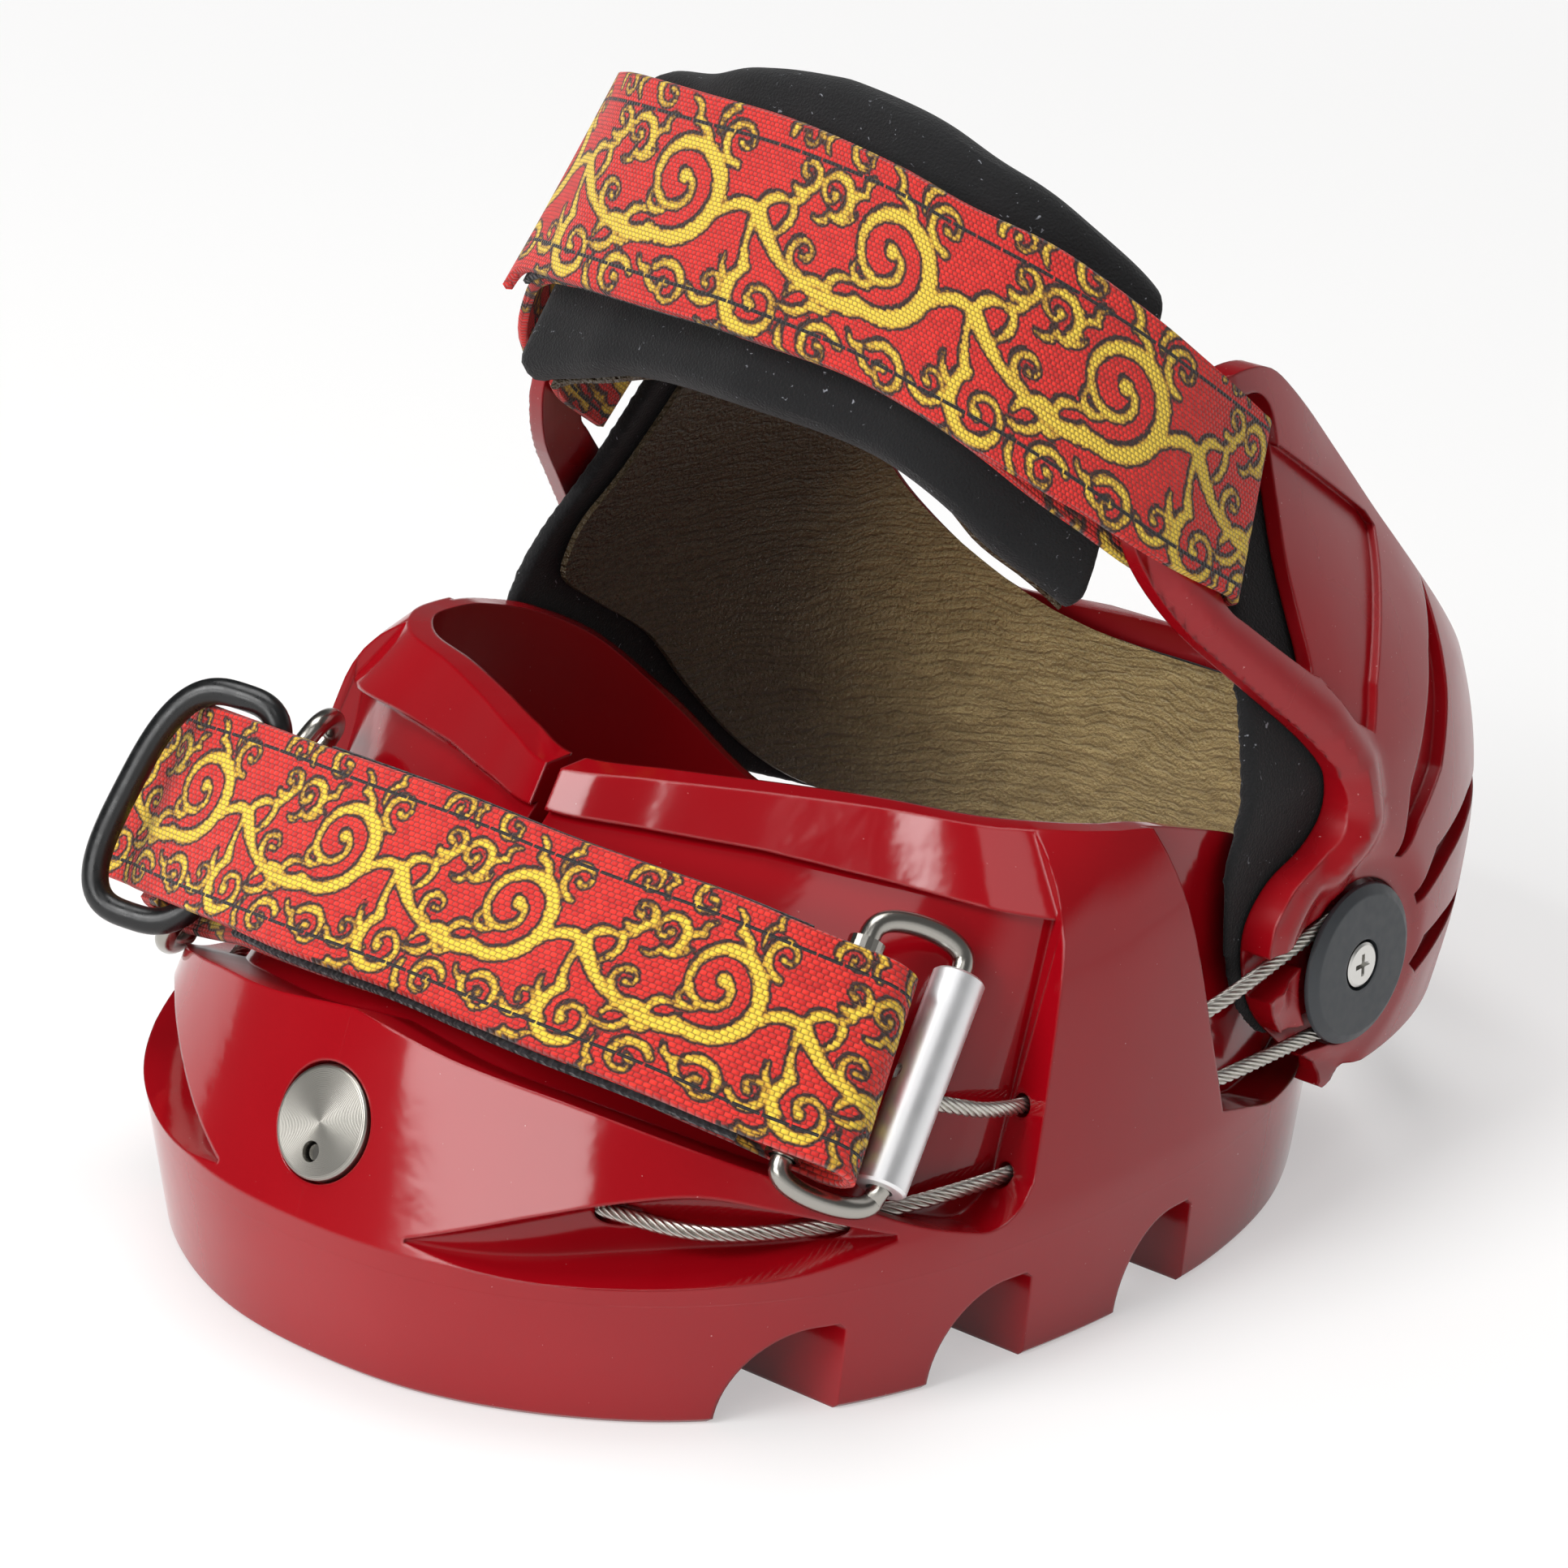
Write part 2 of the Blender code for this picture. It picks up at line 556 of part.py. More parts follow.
TUNNEL_SIDES = 8
for side, word in ((1, "right"), (-1, "left")):
    cord("cable_" + word, cable_route(side), CABLE_RADIUS, STEEL_ROPE)
    low_run = [(x * side, y, z) for x, y, z in curve_run(CABLE_START, CABLE_STEPS)]
    boolean(shell, tube("low_tunnel_cutter_" + word, low_run, CABLE_BORE_RADIUS, TUNNEL_SIDES),
            "DIFFERENCE")
    high_run = [(x * side, y, z) for x, y, z in curve_run(CABLE_END, CABLE_STEPS)]
    boolean(shell, tube("high_tunnel_cutter_" + word, high_run, CABLE_BORE_RADIUS, TUNNEL_SIDES),
            "DIFFERENCE")

# Buckles: an aluminium tube grips the cable's end and carries a wire bail for the strap
TUBE_TOP = (0.0497, -0.0229, 0.0442)
TUBE_BOTTOM = (0.0541, -0.0414, 0.0265)
TUBE_RADIUS = 0.003
TUBE_BORE_RADIUS = 0.00155
BAIL_WIRE_RADIUS = 0.00125
BAIL_BAR_TOP = (0.04355, -0.0313, 0.0493)
BAIL_BAR_BOTTOM = (0.0473, -0.0494, 0.0310)
TUBE_TOP, TUBE_BOTTOM, BAIL_BAR_TOP, BAIL_BAR_BOTTOM = fitted(
    (TUBE_TOP, TUBE_BOTTOM, BAIL_BAR_TOP, BAIL_BAR_BOTTOM))
BAIL_TOP_REACH = 0.0038
BAIL_LOW_REACH = 0.0031
BAIL_ROUNDNESS_POWER = 0.6
BAIL_CORNER_STEPS = 4
ROLLER_RADIUS = 0.0021
ROLLER_BORE_RADIUS = 0.0016
SET_SCREW_SHARE = 0.5
SET_SCREW_LENGTH = 0.0011


def bail_route(side):
    """The closed run of the bail: one long side in the tube, the other in the strap's fold."""
    top = Vector(TUBE_TOP)
    bottom = Vector(TUBE_BOTTOM)
    bar_top = Vector(BAIL_BAR_TOP)
    bar_bottom = Vector(BAIL_BAR_BOTTOM)
    along = (bottom - top).normalized()
    span = bar_top - top
    points = [bottom.lerp(top, i / 4) for i in range(5)]
    for step in range(1, 2 * BAIL_CORNER_STEPS):
        turn = math.pi * step / (2 * BAIL_CORNER_STEPS)
        reach = BAIL_TOP_REACH * math.sin(turn) ** BAIL_ROUNDNESS_POWER
        points.append(top + span * (1 - math.cos(turn)) / 2 - along * reach)
    points += [bar_top.lerp(bar_bottom, i / 4) for i in range(5)]
    for step in range(1, 2 * BAIL_CORNER_STEPS):
        turn = math.pi * step / (2 * BAIL_CORNER_STEPS)
        reach = BAIL_LOW_REACH * math.sin(turn) ** BAIL_ROUNDNESS_POWER
        points.append(bar_bottom - span * (1 - math.cos(turn)) / 2 + along * reach)
    return [(p.x * side, p.y, p.z) for p in points]


for side, word in ((1, "right"), (-1, "left")):
    top = Vector((TUBE_TOP[0] * side, *TUBE_TOP[1:]))
    bottom = Vector((TUBE_BOTTOM[0] * side, *TUBE_BOTTOM[1:]))
    along = bottom - top
    grip = turned("cable_tube_" + word, top, along, (
        (0, TUBE_RADIUS - LOCK_BEVEL), (LOCK_BEVEL, TUBE_RADIUS),
        (along.length - LOCK_BEVEL, TUBE_RADIUS), (along.length, TUBE_RADIUS - LOCK_BEVEL)),
        24, ALUMINIUM)
    bore = turned("tube_bore_cutter_" + word, top, along, (
        (-CUT_OVERRUN, TUBE_BORE_RADIUS), (along.length + CUT_OVERRUN, TUBE_BORE_RADIUS)), 12, None)
    boolean(grip, bore, "DIFFERENCE")
    cable_end = Vector((CABLE_END[-1][0] * side, *CABLE_END[-1][1:]))
    cable_before = Vector((CABLE_END[-2][0] * side, *CABLE_END[-2][1:]))
    entry = turned("cable_entry_cutter_" + word, cable_end, cable_before - cable_end, (
        (-FIT_GAP, CABLE_BORE_RADIUS), (CUTTER_REACH, CABLE_BORE_RADIUS)), 12, None)
    boolean(grip, entry, "DIFFERENCE")
    tube("bail_" + word, bail_route(side), BAIL_WIRE_RADIUS, 10, STEEL, closed_run=True)

tube_axis = Vector(TUBE_BOTTOM) - Vector(TUBE_TOP)
bail_span = Vector(BAIL_BAR_TOP) - Vector(TUBE_TOP)
screw_out = (bail_span - tube_axis * bail_span.dot(tube_axis) / tube_axis.length_squared).normalized()
for side, word in ((1, "right"), (-1, "left")):
    start = Vector(TUBE_TOP) + tube_axis * SET_SCREW_SHARE
    start.x *= side
    out = Vector((screw_out.x * side, screw_out.y, screw_out.z))
    hole = turned("set_screw_cutter_" + word, start, out, (
        (0, SCREW_RADIUS + FIT_GAP), (TUBE_RADIUS + CUT_OVERRUN, SCREW_RADIUS + FIT_GAP)), 12, None)
    boolean(bpy.data.objects["cable_tube_" + word], hole, "DIFFERENCE")
    place = start + out * (BAIL_WIRE_RADIUS + FIT_GAP)
    turned("tube_screw_" + word, place, out, (
        (0, SCREW_RADIUS), (SET_SCREW_LENGTH, SCREW_RADIUS)), 12, STEEL)

roller_top = Vector(BAIL_BAR_TOP)
roller_axis = Vector(BAIL_BAR_BOTTOM) - roller_top
roller_length = roller_axis.length
roller = turned("buckle_roller", (0, 0, 0), roller_axis, (
    (-roller_length / 2, ROLLER_RADIUS), (roller_length / 2, ROLLER_RADIUS)), 20, STEEL)
roller.location = roller_top + roller_axis / 2
roller_bore = turned("roller_bore_cutter", roller.location, roller_axis, (
    (-roller_length, ROLLER_BORE_RADIUS), (roller_length, ROLLER_BORE_RADIUS)), 14, None)
boolean(roller, roller_bore, "DIFFERENCE")

# Captivator: the hinged heel piece, a U-shaped cup with two arms that reach forward and up
CAPTIVATOR_PLAN = (
    (0.0085, 0.0603, 0.0633), (0.014, 0.061, 0.064), (0.020, 0.0622, 0.0657), (0.025, 0.063, 0.067),
    (0.030, 0.0634, 0.0680), (0.035, 0.0636, 0.0685), (0.040, 0.0635, 0.0684), (0.045, 0.0632, 0.068),
    (0.050, 0.0625, 0.0670), (0.055, 0.0613, 0.0655), (0.060, 0.0592, 0.0630), (0.065, 0.0565, 0.060),
    (0.070, 0.0538, 0.0566), (0.075, 0.0512, 0.053), (0.080, 0.0489, 0.0499), (0.085, 0.0470, 0.047),
    (0.090, 0.0456, 0.0444), (0.095, 0.0445, 0.042), (0.100, 0.0437, 0.0403), (0.105, 0.043, 0.039))
PLAN_CENTRE_Y = 0.030
PLAN_FRONT_Y = 0.004
PLAN_POWER = 2.1
PLAN_SIDE_STEPS = 5
PLAN_ROUND_STEPS = 16
CAPTIVATOR_THICKNESS = 0.0034
PAD_GAP = 0.0006
EAR_INNER_DEPTH = 0.0042
EAR_OUTER_DEPTH = 0.0009
EAR_INNER_X = SHELL_HALF_WIDTH - EAR_INNER_DEPTH
EAR_OUTER_X = SHELL_HALF_WIDTH - EAR_OUTER_DEPTH
EAR_FLAT_RADIUS = 0.012
EAR_RISE_SHARE = 0.5
EAR_TOP = 0.056


def plan_run(width, reach):
    """The right half of a plan curve, from the arm's front edge to the heel's centre."""
    run = []
    for step in range(PLAN_SIDE_STEPS):
        run.append((width, PLAN_FRONT_Y + (PLAN_CENTRE_Y - PLAN_FRONT_Y) * step / PLAN_SIDE_STEPS))
    for step in range(PLAN_ROUND_STEPS + 1):
        turn = math.pi / 2 * step / PLAN_ROUND_STEPS
        x = width * math.cos(turn) ** (2 / PLAN_POWER)
        run.append((x, PLAN_CENTRE_Y + reach * math.sin(turn) ** (2 / PLAN_POWER)))
    return run


def cup_layer(name, outer_inset, inner_inset, ear_outer, ear_rise_share, ear_inner, finish):
    """A U-shaped layer between two insets from the captivator's outside, thinner at the ears."""
    sections = []
    for height, plan_width, reach in CAPTIVATOR_PLAN:
        width = plan_width * SHELL_HALF_WIDTH / REFERENCE_HALF_WIDTH
        outside = []
        for x, y in plan_run(width - outer_inset, reach - outer_inset):
            if height < EAR_TOP:
                away = math.hypot(y - PIVOT_Y, height - PIVOT_Z)
                x = min(x, ear_outer + max(0.0, away - EAR_FLAT_RADIUS) * ear_rise_share)
            outside.append((x, y))
        inside = []
        for x, y in plan_run(width - inner_inset, reach - inner_inset):
            if height < EAR_TOP:
                x = min(x, ear_inner)
            inside.append((x, y))
        ring = [(x, y, height) for x, y in outside]
        ring += [(-x, y, height) for x, y in reversed(outside[:-1])]
        ring += [(-x, y, height) for x, y in inside[:-1]]
        ring += [(x, y, height) for x, y in reversed(inside)]
        sections.append(ring)
    return loft(name, sections, finish)


CAPTIVATOR_SIDE = (
    (0.0345, 0.0172), (0.028, 0.0185), (0.0215, 0.0235), (0.0165, 0.0285), (0.014, 0.0345),
    (0.0147, 0.040), (0.0185, 0.045), (0.0245, 0.0482), (0.0283, 0.0512), (0.0286, 0.0545),
    (0.026, 0.058), (0.019, 0.065), (0.013, 0.073), (0.0102, 0.080), (0.010, 0.085),
    (0.0118, 0.0878), (0.015, 0.091), (0.019, 0.095), (0.0235, 0.0995), (0.0285, 0.1020),
    (0.033, 0.1022), (0.0378, 0.1002), (0.0425, 0.0938), (0.0488, 0.0864), (0.056, 0.0784),
    (0.0631, 0.0694), (0.0702, 0.060), (0.079, 0.0485), (0.0868, 0.0385), (0.094, 0.0335),
    (0.101, 0.032), (0.101, 0.0130), (0.090, 0.0130), (0.075, 0.0135), (0.060, 0.0155),
    (0.048, 0.0168), (0.040, 0.0168))
WINDOW_SIDE = (
    (0.0206, 0.0755), (0.0234, 0.0729), (0.0325, 0.0682), (0.0338, 0.070), (0.0352, 0.076),
    (0.0368, 0.082), (0.0378, 0.0875), (0.0382, 0.0915), (0.0380, 0.0948), (0.0364, 0.0978),
    (0.0335, 0.0988), (0.0312, 0.0980), (0.0245, 0.086), (0.0208, 0.079))
CABLE_MOUTH_SIDE = (
    (0.034, 0.0400), (0.004, 0.0400), (0.004, 0.008), (0.030, 0.0180), (0.0345, 0.0200))
SILHOUETTE_REACH = 0.080
POCKET_FLOOR_DEPTH = 0.0031
MOUTH_FLOOR_DEPTH = 0.0029
POCKET_FLOOR_X = SHELL_HALF_WIDTH - POCKET_FLOOR_DEPTH
MOUTH_FLOOR_X = SHELL_HALF_WIDTH - MOUTH_FLOOR_DEPTH
PULLEY_POCKET_RADIUS = 0.0101
INSERT_RADIUS = 0.0030
INSERT_INNER_DEPTH = 0.0056
INSERT_INNER_X = SHELL_HALF_WIDTH - INSERT_INNER_DEPTH

captivator = cup_layer("captivator", 0.0, CAPTIVATOR_THICKNESS, EAR_OUTER_X, EAR_RISE_SHARE,
                       EAR_INNER_X, RED_SHELL)
side_shape = prism("captivator_side_guide", CAPTIVATOR_SIDE, -SILHOUETTE_REACH, SILHOUETTE_REACH)
boolean(captivator, side_shape, "INTERSECT")
window = prism("window_cutter", WINDOW_SIDE, -SILHOUETTE_REACH, SILHOUETTE_REACH)
boolean(captivator, window, "DIFFERENCE")
pivot_bore = turned("insert_bore_cutter", (-SILHOUETTE_REACH, PIVOT_Y, PIVOT_Z), (1, 0, 0), (
    (0, INSERT_RADIUS + FIT_GAP), (2 * SILHOUETTE_REACH, INSERT_RADIUS + FIT_GAP)), 24, None)
boolean(captivator, pivot_bore, "DIFFERENCE")
for side, word in ((1, "right"), (-1, "left")):
    hub = (side * POCKET_FLOOR_X, PIVOT_Y, PIVOT_Z)
    pocket = turned("pulley_pocket_cutter_" + word, hub, (side, 0, 0), (
        (0, PULLEY_POCKET_RADIUS), (CUTTER_REACH, PULLEY_POCKET_RADIUS)), 48, None)
    boolean(captivator, pocket, "DIFFERENCE")
    mouth = prism("cable_mouth_cutter_" + word, CABLE_MOUTH_SIDE, side * MOUTH_FLOOR_X,
                  side * SILHOUETTE_REACH)
    boolean(captivator, mouth, "DIFFERENCE")

# Pulleys with their pivot screws and the threaded inserts in the captivator's ears
PULLEY_INNER_HALF = 0.0016
PULLEY_OUTER_HALF = 0.0020
PULLEY_FLANGE = 0.0007
PULLEY_INNER_X = PULLEY_PLANE_X - PULLEY_INNER_HALF
PULLEY_FACE_X = PULLEY_PLANE_X + PULLEY_OUTER_HALF
PULLEY_GROOVE_END_X = PULLEY_FACE_X - PULLEY_FLANGE
PULLEY_HUB_RADIUS = 0.0059
PULLEY_DISC_RADIUS = 0.00975
PULLEY_BEVEL = 0.0004
PULLEY_BORE_RADIUS = 0.0018
SCREW_HEAD_RADIUS = 0.0027
SCREW_HEAD_THICKNESS = 0.0013
SCREW_LENGTH = 0.0056
SCREW_HEAD_SEAT_X = PULLEY_FACE_X - SCREW_HEAD_THICKNESS
SCREW_SHANK_RADIUS = 0.0014
SCREW_TIP_X = PULLEY_FACE_X - SCREW_LENGTH
INSERT_LENGTH = 0.0023
INSERT_OUTER_X = INSERT_INNER_X + INSERT_LENGTH
INSERT_BORE_RADIUS = SCREW_SHANK_RADIUS + FIT_GAP

for side, word in ((1, "right"), (-1, "left")):
    hub = Vector((0, PIVOT_Y, PIVOT_Z))
    across = (side, 0, 0)
    pulley = turned("pulley_" + word, (0, 0, 0), across, (
        (PULLEY_INNER_X - PULLEY_FACE_X, PULLEY_HUB_RADIUS),
        (PULLEY_GROOVE_END_X - PULLEY_FACE_X, PULLEY_HUB_RADIUS),
        (PULLEY_GROOVE_END_X - PULLEY_FACE_X, PULLEY_DISC_RADIUS),
        (-PULLEY_BEVEL, PULLEY_DISC_RADIUS), (0, PULLEY_DISC_RADIUS - PULLEY_BEVEL)), 48, GREY_NYLON)
    pulley.location = hub + Vector(across) * PULLEY_FACE_X
    bore = turned("pulley_bore_cutter_" + word, hub, across, (
        (PULLEY_POCKET_RADIUS, PULLEY_BORE_RADIUS), (SCREW_HEAD_SEAT_X - FIT_GAP, PULLEY_BORE_RADIUS),
        (SCREW_HEAD_SEAT_X - FIT_GAP, SCREW_HEAD_RADIUS + FIT_GAP),
        (SILHOUETTE_REACH, SCREW_HEAD_RADIUS + FIT_GAP)), 24, None)
    boolean(pulley, bore, "DIFFERENCE")
    turned("pivot_screw_" + word, hub, across, (
        (SCREW_TIP_X, SCREW_SHANK_RADIUS), (SCREW_HEAD_SEAT_X, SCREW_SHANK_RADIUS),
        (SCREW_HEAD_SEAT_X, SCREW_HEAD_RADIUS), (PULLEY_FACE_X, SCREW_HEAD_RADIUS)), 24, STEEL)
    insert = turned("pivot_insert_" + word, hub, across, (
        (INSERT_INNER_X, INSERT_RADIUS), (INSERT_OUTER_X, INSERT_RADIUS)), 24, STEEL)
    insert_bore = turned("insert_thread_cutter_" + word, hub, across, (
        (0, INSERT_BORE_RADIUS), (SILHOUETTE_REACH, INSERT_BORE_RADIUS)), 16, None)
    boolean(insert, insert_bore, "DIFFERENCE")

# Heel pad and its lining, inside the captivator
PAD_THICKNESS = 0.0027
PAD_EAR_OUTER_X = EAR_INNER_X - FIT_GAP
PAD_EAR_THICKNESS = 0.0012
PAD_EAR_INNER_X = PAD_EAR_OUTER_X - PAD_EAR_THICKNESS
PAD_HOLE_RADIUS = 0.0040
LINING_THICKNESS = 0.0009
HEEL_PAD_SIDE = (
    (0.0235, 0.0228), (0.018, 0.0258), (0.0138, 0.030), (0.0115, 0.0355), (0.011, 0.041),
    (0.0115, 0.047), (0.015, 0.053), (0.020, 0.060), (0.024, 0.066), (0.027, 0.074), (0.030, 0.082),
    (0.0335, 0.089), (0.0375, 0.0915), (0.042, 0.090), (0.0488, 0.084), (0.056, 0.076),
    (0.063, 0.067), (0.070, 0.0575), (0.079, 0.046), (0.087, 0.0365), (0.095, 0.032),
    (0.101, 0.031), (0.101, 0.0100), (0.078, 0.0100), (0.068, 0.0118), (0.060, 0.0150), (0.052, 0.0180),
    (0.040, 0.0205))
LINING_SIDE = (
    (0.0265, 0.056), (0.032, 0.0525), (0.040, 0.0475), (0.0475, 0.041), (0.053, 0.031),
    (0.058, 0.0210), (0.062, 0.0155), (0.068, 0.0125), (0.078, 0.0107), (0.101, 0.0107),
    (0.101, 0.0305), (0.095, 0.0315),
    (0.087, 0.036), (0.079, 0.0455), (0.070, 0.057), (0.063, 0.0665), (0.056, 0.0755),
    (0.0488, 0.0835), (0.042, 0.0885), (0.038, 0.0885), (0.035, 0.084), (0.032, 0.075),
    (0.029, 0.066), (0.0265, 0.060))

heel_pad = cup_layer("heel_pad", CAPTIVATOR_THICKNESS + PAD_GAP,
                     CAPTIVATOR_THICKNESS + PAD_GAP + PAD_THICKNESS,
                     PAD_EAR_OUTER_X, 0.0, PAD_EAR_INNER_X, BLACK_FOAM)
boolean(heel_pad, prism("heel_pad_side_guide", HEEL_PAD_SIDE, -SILHOUETTE_REACH, SILHOUETTE_REACH),
        "INTERSECT")
pad_hole = turned("pad_hole_cutter", (-SILHOUETTE_REACH, PIVOT_Y, PIVOT_Z), (1, 0, 0), (
    (0, PAD_HOLE_RADIUS), (2 * SILHOUETTE_REACH, PAD_HOLE_RADIUS)), 24, None)
boolean(heel_pad, pad_hole, "DIFFERENCE")
lining_inset = CAPTIVATOR_THICKNESS + PAD_GAP + PAD_THICKNESS + PAD_GAP
lining = cup_layer("heel_pad_lining", lining_inset, lining_inset + LINING_THICKNESS,
                   PAD_EAR_OUTER_X, 0.0, PAD_EAR_OUTER_X, TAN_LINING)
boolean(lining, prism("lining_side_guide", LINING_SIDE, -SILHOUETTE_REACH, SILHOUETTE_REACH),
        "INTERSECT")


def edge_pairs(upper, lower, steps_each):
    """Pairs of (upper, lower) edge points along a band, smoothed between the stations."""
    top = [Vector(p) for p in curve_run(upper, steps_each)]
    low = [Vector(p) for p in curve_run(lower, steps_each)]
    return list(zip(top, low))


def facing(pairs, i):
    """The band's direction along its run, and its outward direction, at one station."""
    behind = pairs[max(i - 1, 0)]
    ahead = pairs[min(i + 1, len(pairs) - 1)]
    along = (ahead[0] + ahead[1] - behind[0] - behind[1]).normalized()
    across = (pairs[i][1] - pairs[i][0]).normalized()
    out = across.cross(along).normalized()
    return along, across, out


def shifted(pairs, depths, widen=0.0):
    """The same band further in by the given depths, and wider at both edges."""
    result = []
    for i, (top, low) in enumerate(pairs):
        _, across, out = facing(pairs, i)
        depth = depths[i] if isinstance(depths, list) else depths
        result.append((top - out * depth - across * widen, low - out * depth + across * widen))
    return result


def folded(pairs, radius, steps):
    """A half turn at the run's last station, towards the band's inner side."""
    along, _, out = facing(pairs, len(pairs) - 1)
    top, low = pairs[-1]
    result = []
    for step in range(1, steps + 1):
        turn = math.pi * step / steps
        move = out * radius * (math.cos(turn) - 1) + along * radius * math.sin(turn)
        result.append((top + move, low + move))
    return result


def band(name, pairs, thickness, finish):
    """A flat strap of even thickness, whose middle surface runs through the pairs."""
    sections = []
    for i, (top, low) in enumerate(pairs):
        _, _, out = facing(pairs, i)
        half = out * thickness / 2
        middle = (top + low) / 2
        sections.append([top + half, middle + half, low + half, low - half, middle - half, top - half])
    return loft(name, sections, finish)


# Toe strap: from the left bail across the front, round the right roller and back to the pull ring
TOE_UPPER_EDGE = (
    (-0.05636, -0.03898, 0.05416), (-0.05137, -0.03991, 0.05472), (-0.0475, -0.0415, 0.0556),
    (-0.0370, -0.0423, 0.0560), (-0.0280, -0.0431, 0.0564), (-0.0175, -0.0434, 0.0567),
    (-0.0070, -0.0434, 0.0567), (0.0, -0.0432, 0.0564), (0.0100, -0.0429, 0.0559),
    (0.0204, -0.0418, 0.0553), (0.0309, -0.0394, 0.0540), (0.0406, -0.0372, 0.0521),
    (0.0477, -0.0331, 0.0494))
TOE_LOWER_EDGE = (
    (-0.05968, -0.04884, 0.03285), (-0.05537, -0.04961, 0.03332), (-0.0515, -0.0512, 0.0342),
    (-0.0390, -0.0555, 0.0368), (-0.0295, -0.0579, 0.0383), (-0.0185, -0.0599, 0.0392),
    (-0.0075, -0.0603, 0.0397), (0.0, -0.0604, 0.0399), (0.0095, -0.0606, 0.0397),
    (0.0205, -0.0602, 0.0392), (0.0323, -0.0573, 0.0373), (0.0438, -0.0531, 0.0343),
    (0.0527, -0.0494, 0.0318))
TOE_MIDDLE_STATION = 7
BAND_STEPS = 3
FOLD_STEPS = 8
BUCKLE_FOLD_RADIUS = 0.0033
LAYER_SPACING = 0.0034
BUCKLE_HOLD_LENGTH = 0.006
SPACING_EASE_LENGTH = 0.020
LOOP_RETURN_LENGTH = 0.0065
TAPE_THICKNESS = 0.0009
TAPE_DEPTH = 0.0015
TAPE_WIDENING = 0.0006


def spacing_at(distance, hold, fold_radius, rest):
    """The spacing of two strap layers at a distance from their fold."""
    share = 1 - min(max((distance - hold) / SPACING_EASE_LENGTH, 0.0), 1.0)
    share = share * share * (3 - 2 * share)
    return rest + (2 * fold_radius - rest) * share


def run_lengths(pairs):
    """The distance from the run's first station to each of its stations."""
    total = 0.0
    lengths = [0.0]
    for before, after in zip(pairs, pairs[1:]):
        total += ((after[0] + after[1]) / 2 - (before[0] + before[1]) / 2).length
        lengths.append(total)
    return lengths


def flipped(pairs):
    """The band mirrored to the boot's other side, still running from left to right."""
    return [(mirrored(top), mirrored(low)) for top, low in reversed(pairs)]


def under_layer(outer_half, hold, fold_radius, rest):
    """The inner layer below the right half of an outer one, out to the fold at its right end."""
    lengths = run_lengths(outer_half)
    depths = [spacing_at(lengths[-1] - length, hold, fold_radius, rest) for length in lengths]
    return shifted(outer_half, depths)


toe_outer = edge_pairs(fitted(TOE_UPPER_EDGE), fitted(TOE_LOWER_EDGE), BAND_STEPS)
toe_right = toe_outer[TOE_MIDDLE_STATION * BAND_STEPS:]
toe_under_right = under_layer(toe_right, BUCKLE_HOLD_LENGTH, BUCKLE_FOLD_RADIUS, LAYER_SPACING)
toe_under = flipped(toe_under_right)[:-1] + toe_under_right
toe_fold = folded(toe_right, BUCKLE_FOLD_RADIUS, FOLD_STEPS)[:-1]
toe_left_fold = [(mirrored(top), mirrored(low)) for top, low in toe_fold]
toe_return = []
for pair, length in zip(flipped(toe_right), run_lengths(flipped(toe_right))):
    if length <= LOOP_RETURN_LENGTH:
        toe_return.append(pair)
toe_path = (list(reversed(toe_return)) + toe_left_fold + toe_under
            + list(reversed(toe_fold)) + list(reversed(toe_outer)))
band("toe_strap", toe_path, WEBBING_THICKNESS, RED_WEBBING)
TAPE_FIRST_STATION = 4
TAPE_LAST_STATION = 11
tape_run = shifted(toe_outer, TAPE_DEPTH, TAPE_WIDENING)
tape_run = tape_run[TAPE_FIRST_STATION * BAND_STEPS:TAPE_LAST_STATION * BAND_STEPS + 1]
band("toe_strap_tape", tape_run, TAPE_THICKNESS, BLACK_TAPE)

# Pull ring: an oval of coated wire; the strap's end passes over one side and under the other
RING_WIRE_RADIUS = 0.002
RING_HALF_LENGTH = 0.0149
RING_HALF_WIDTH = 0.0080
RING_TILT = math.radians(40)
RING_LIFT = 0.0002
RING_LEAN = math.radians(5)
RING_DROP = 0.0005
RING_SETBACK = 0.003
RING_STATION_COUNT = 2
RING_STEPS = 48
RING_ROUNDNESS_POWER = 0.5

ring_along, ring_across, ring_out = facing(toe_outer, RING_STATION_COUNT * BAND_STEPS)
ring_top, ring_low = toe_outer[RING_STATION_COUNT * BAND_STEPS]
ring_long = ring_across * math.cos(RING_LEAN) + ring_out * math.sin(RING_LEAN)
ring_middle = (ring_top + ring_low) / 2 + ring_along * RING_SETBACK
ring_middle += ring_out * RING_LIFT + ring_across * RING_DROP
ring_short = (ring_out * math.sin(RING_TILT) - ring_along * math.cos(RING_TILT)).normalized()
hinge_place = ring_middle - ring_short * RING_HALF_WIDTH


def power(value, exponent):
    return math.copysign(abs(value) ** exponent, value)


ring_points = []
for step in range(RING_STEPS):
    turn = 2 * math.pi * step / RING_STEPS
    reach = power(math.cos(turn), RING_ROUNDNESS_POWER) * RING_HALF_LENGTH
    aside = power(math.sin(turn), RING_ROUNDNESS_POWER) * RING_HALF_WIDTH
    ring_points.append(ring_long * reach + ring_short * (aside + RING_HALF_WIDTH))
ring = tube("pull_ring", ring_points, RING_WIRE_RADIUS, 12, BLACK_RING, closed_run=True)
ring.location = hinge_place

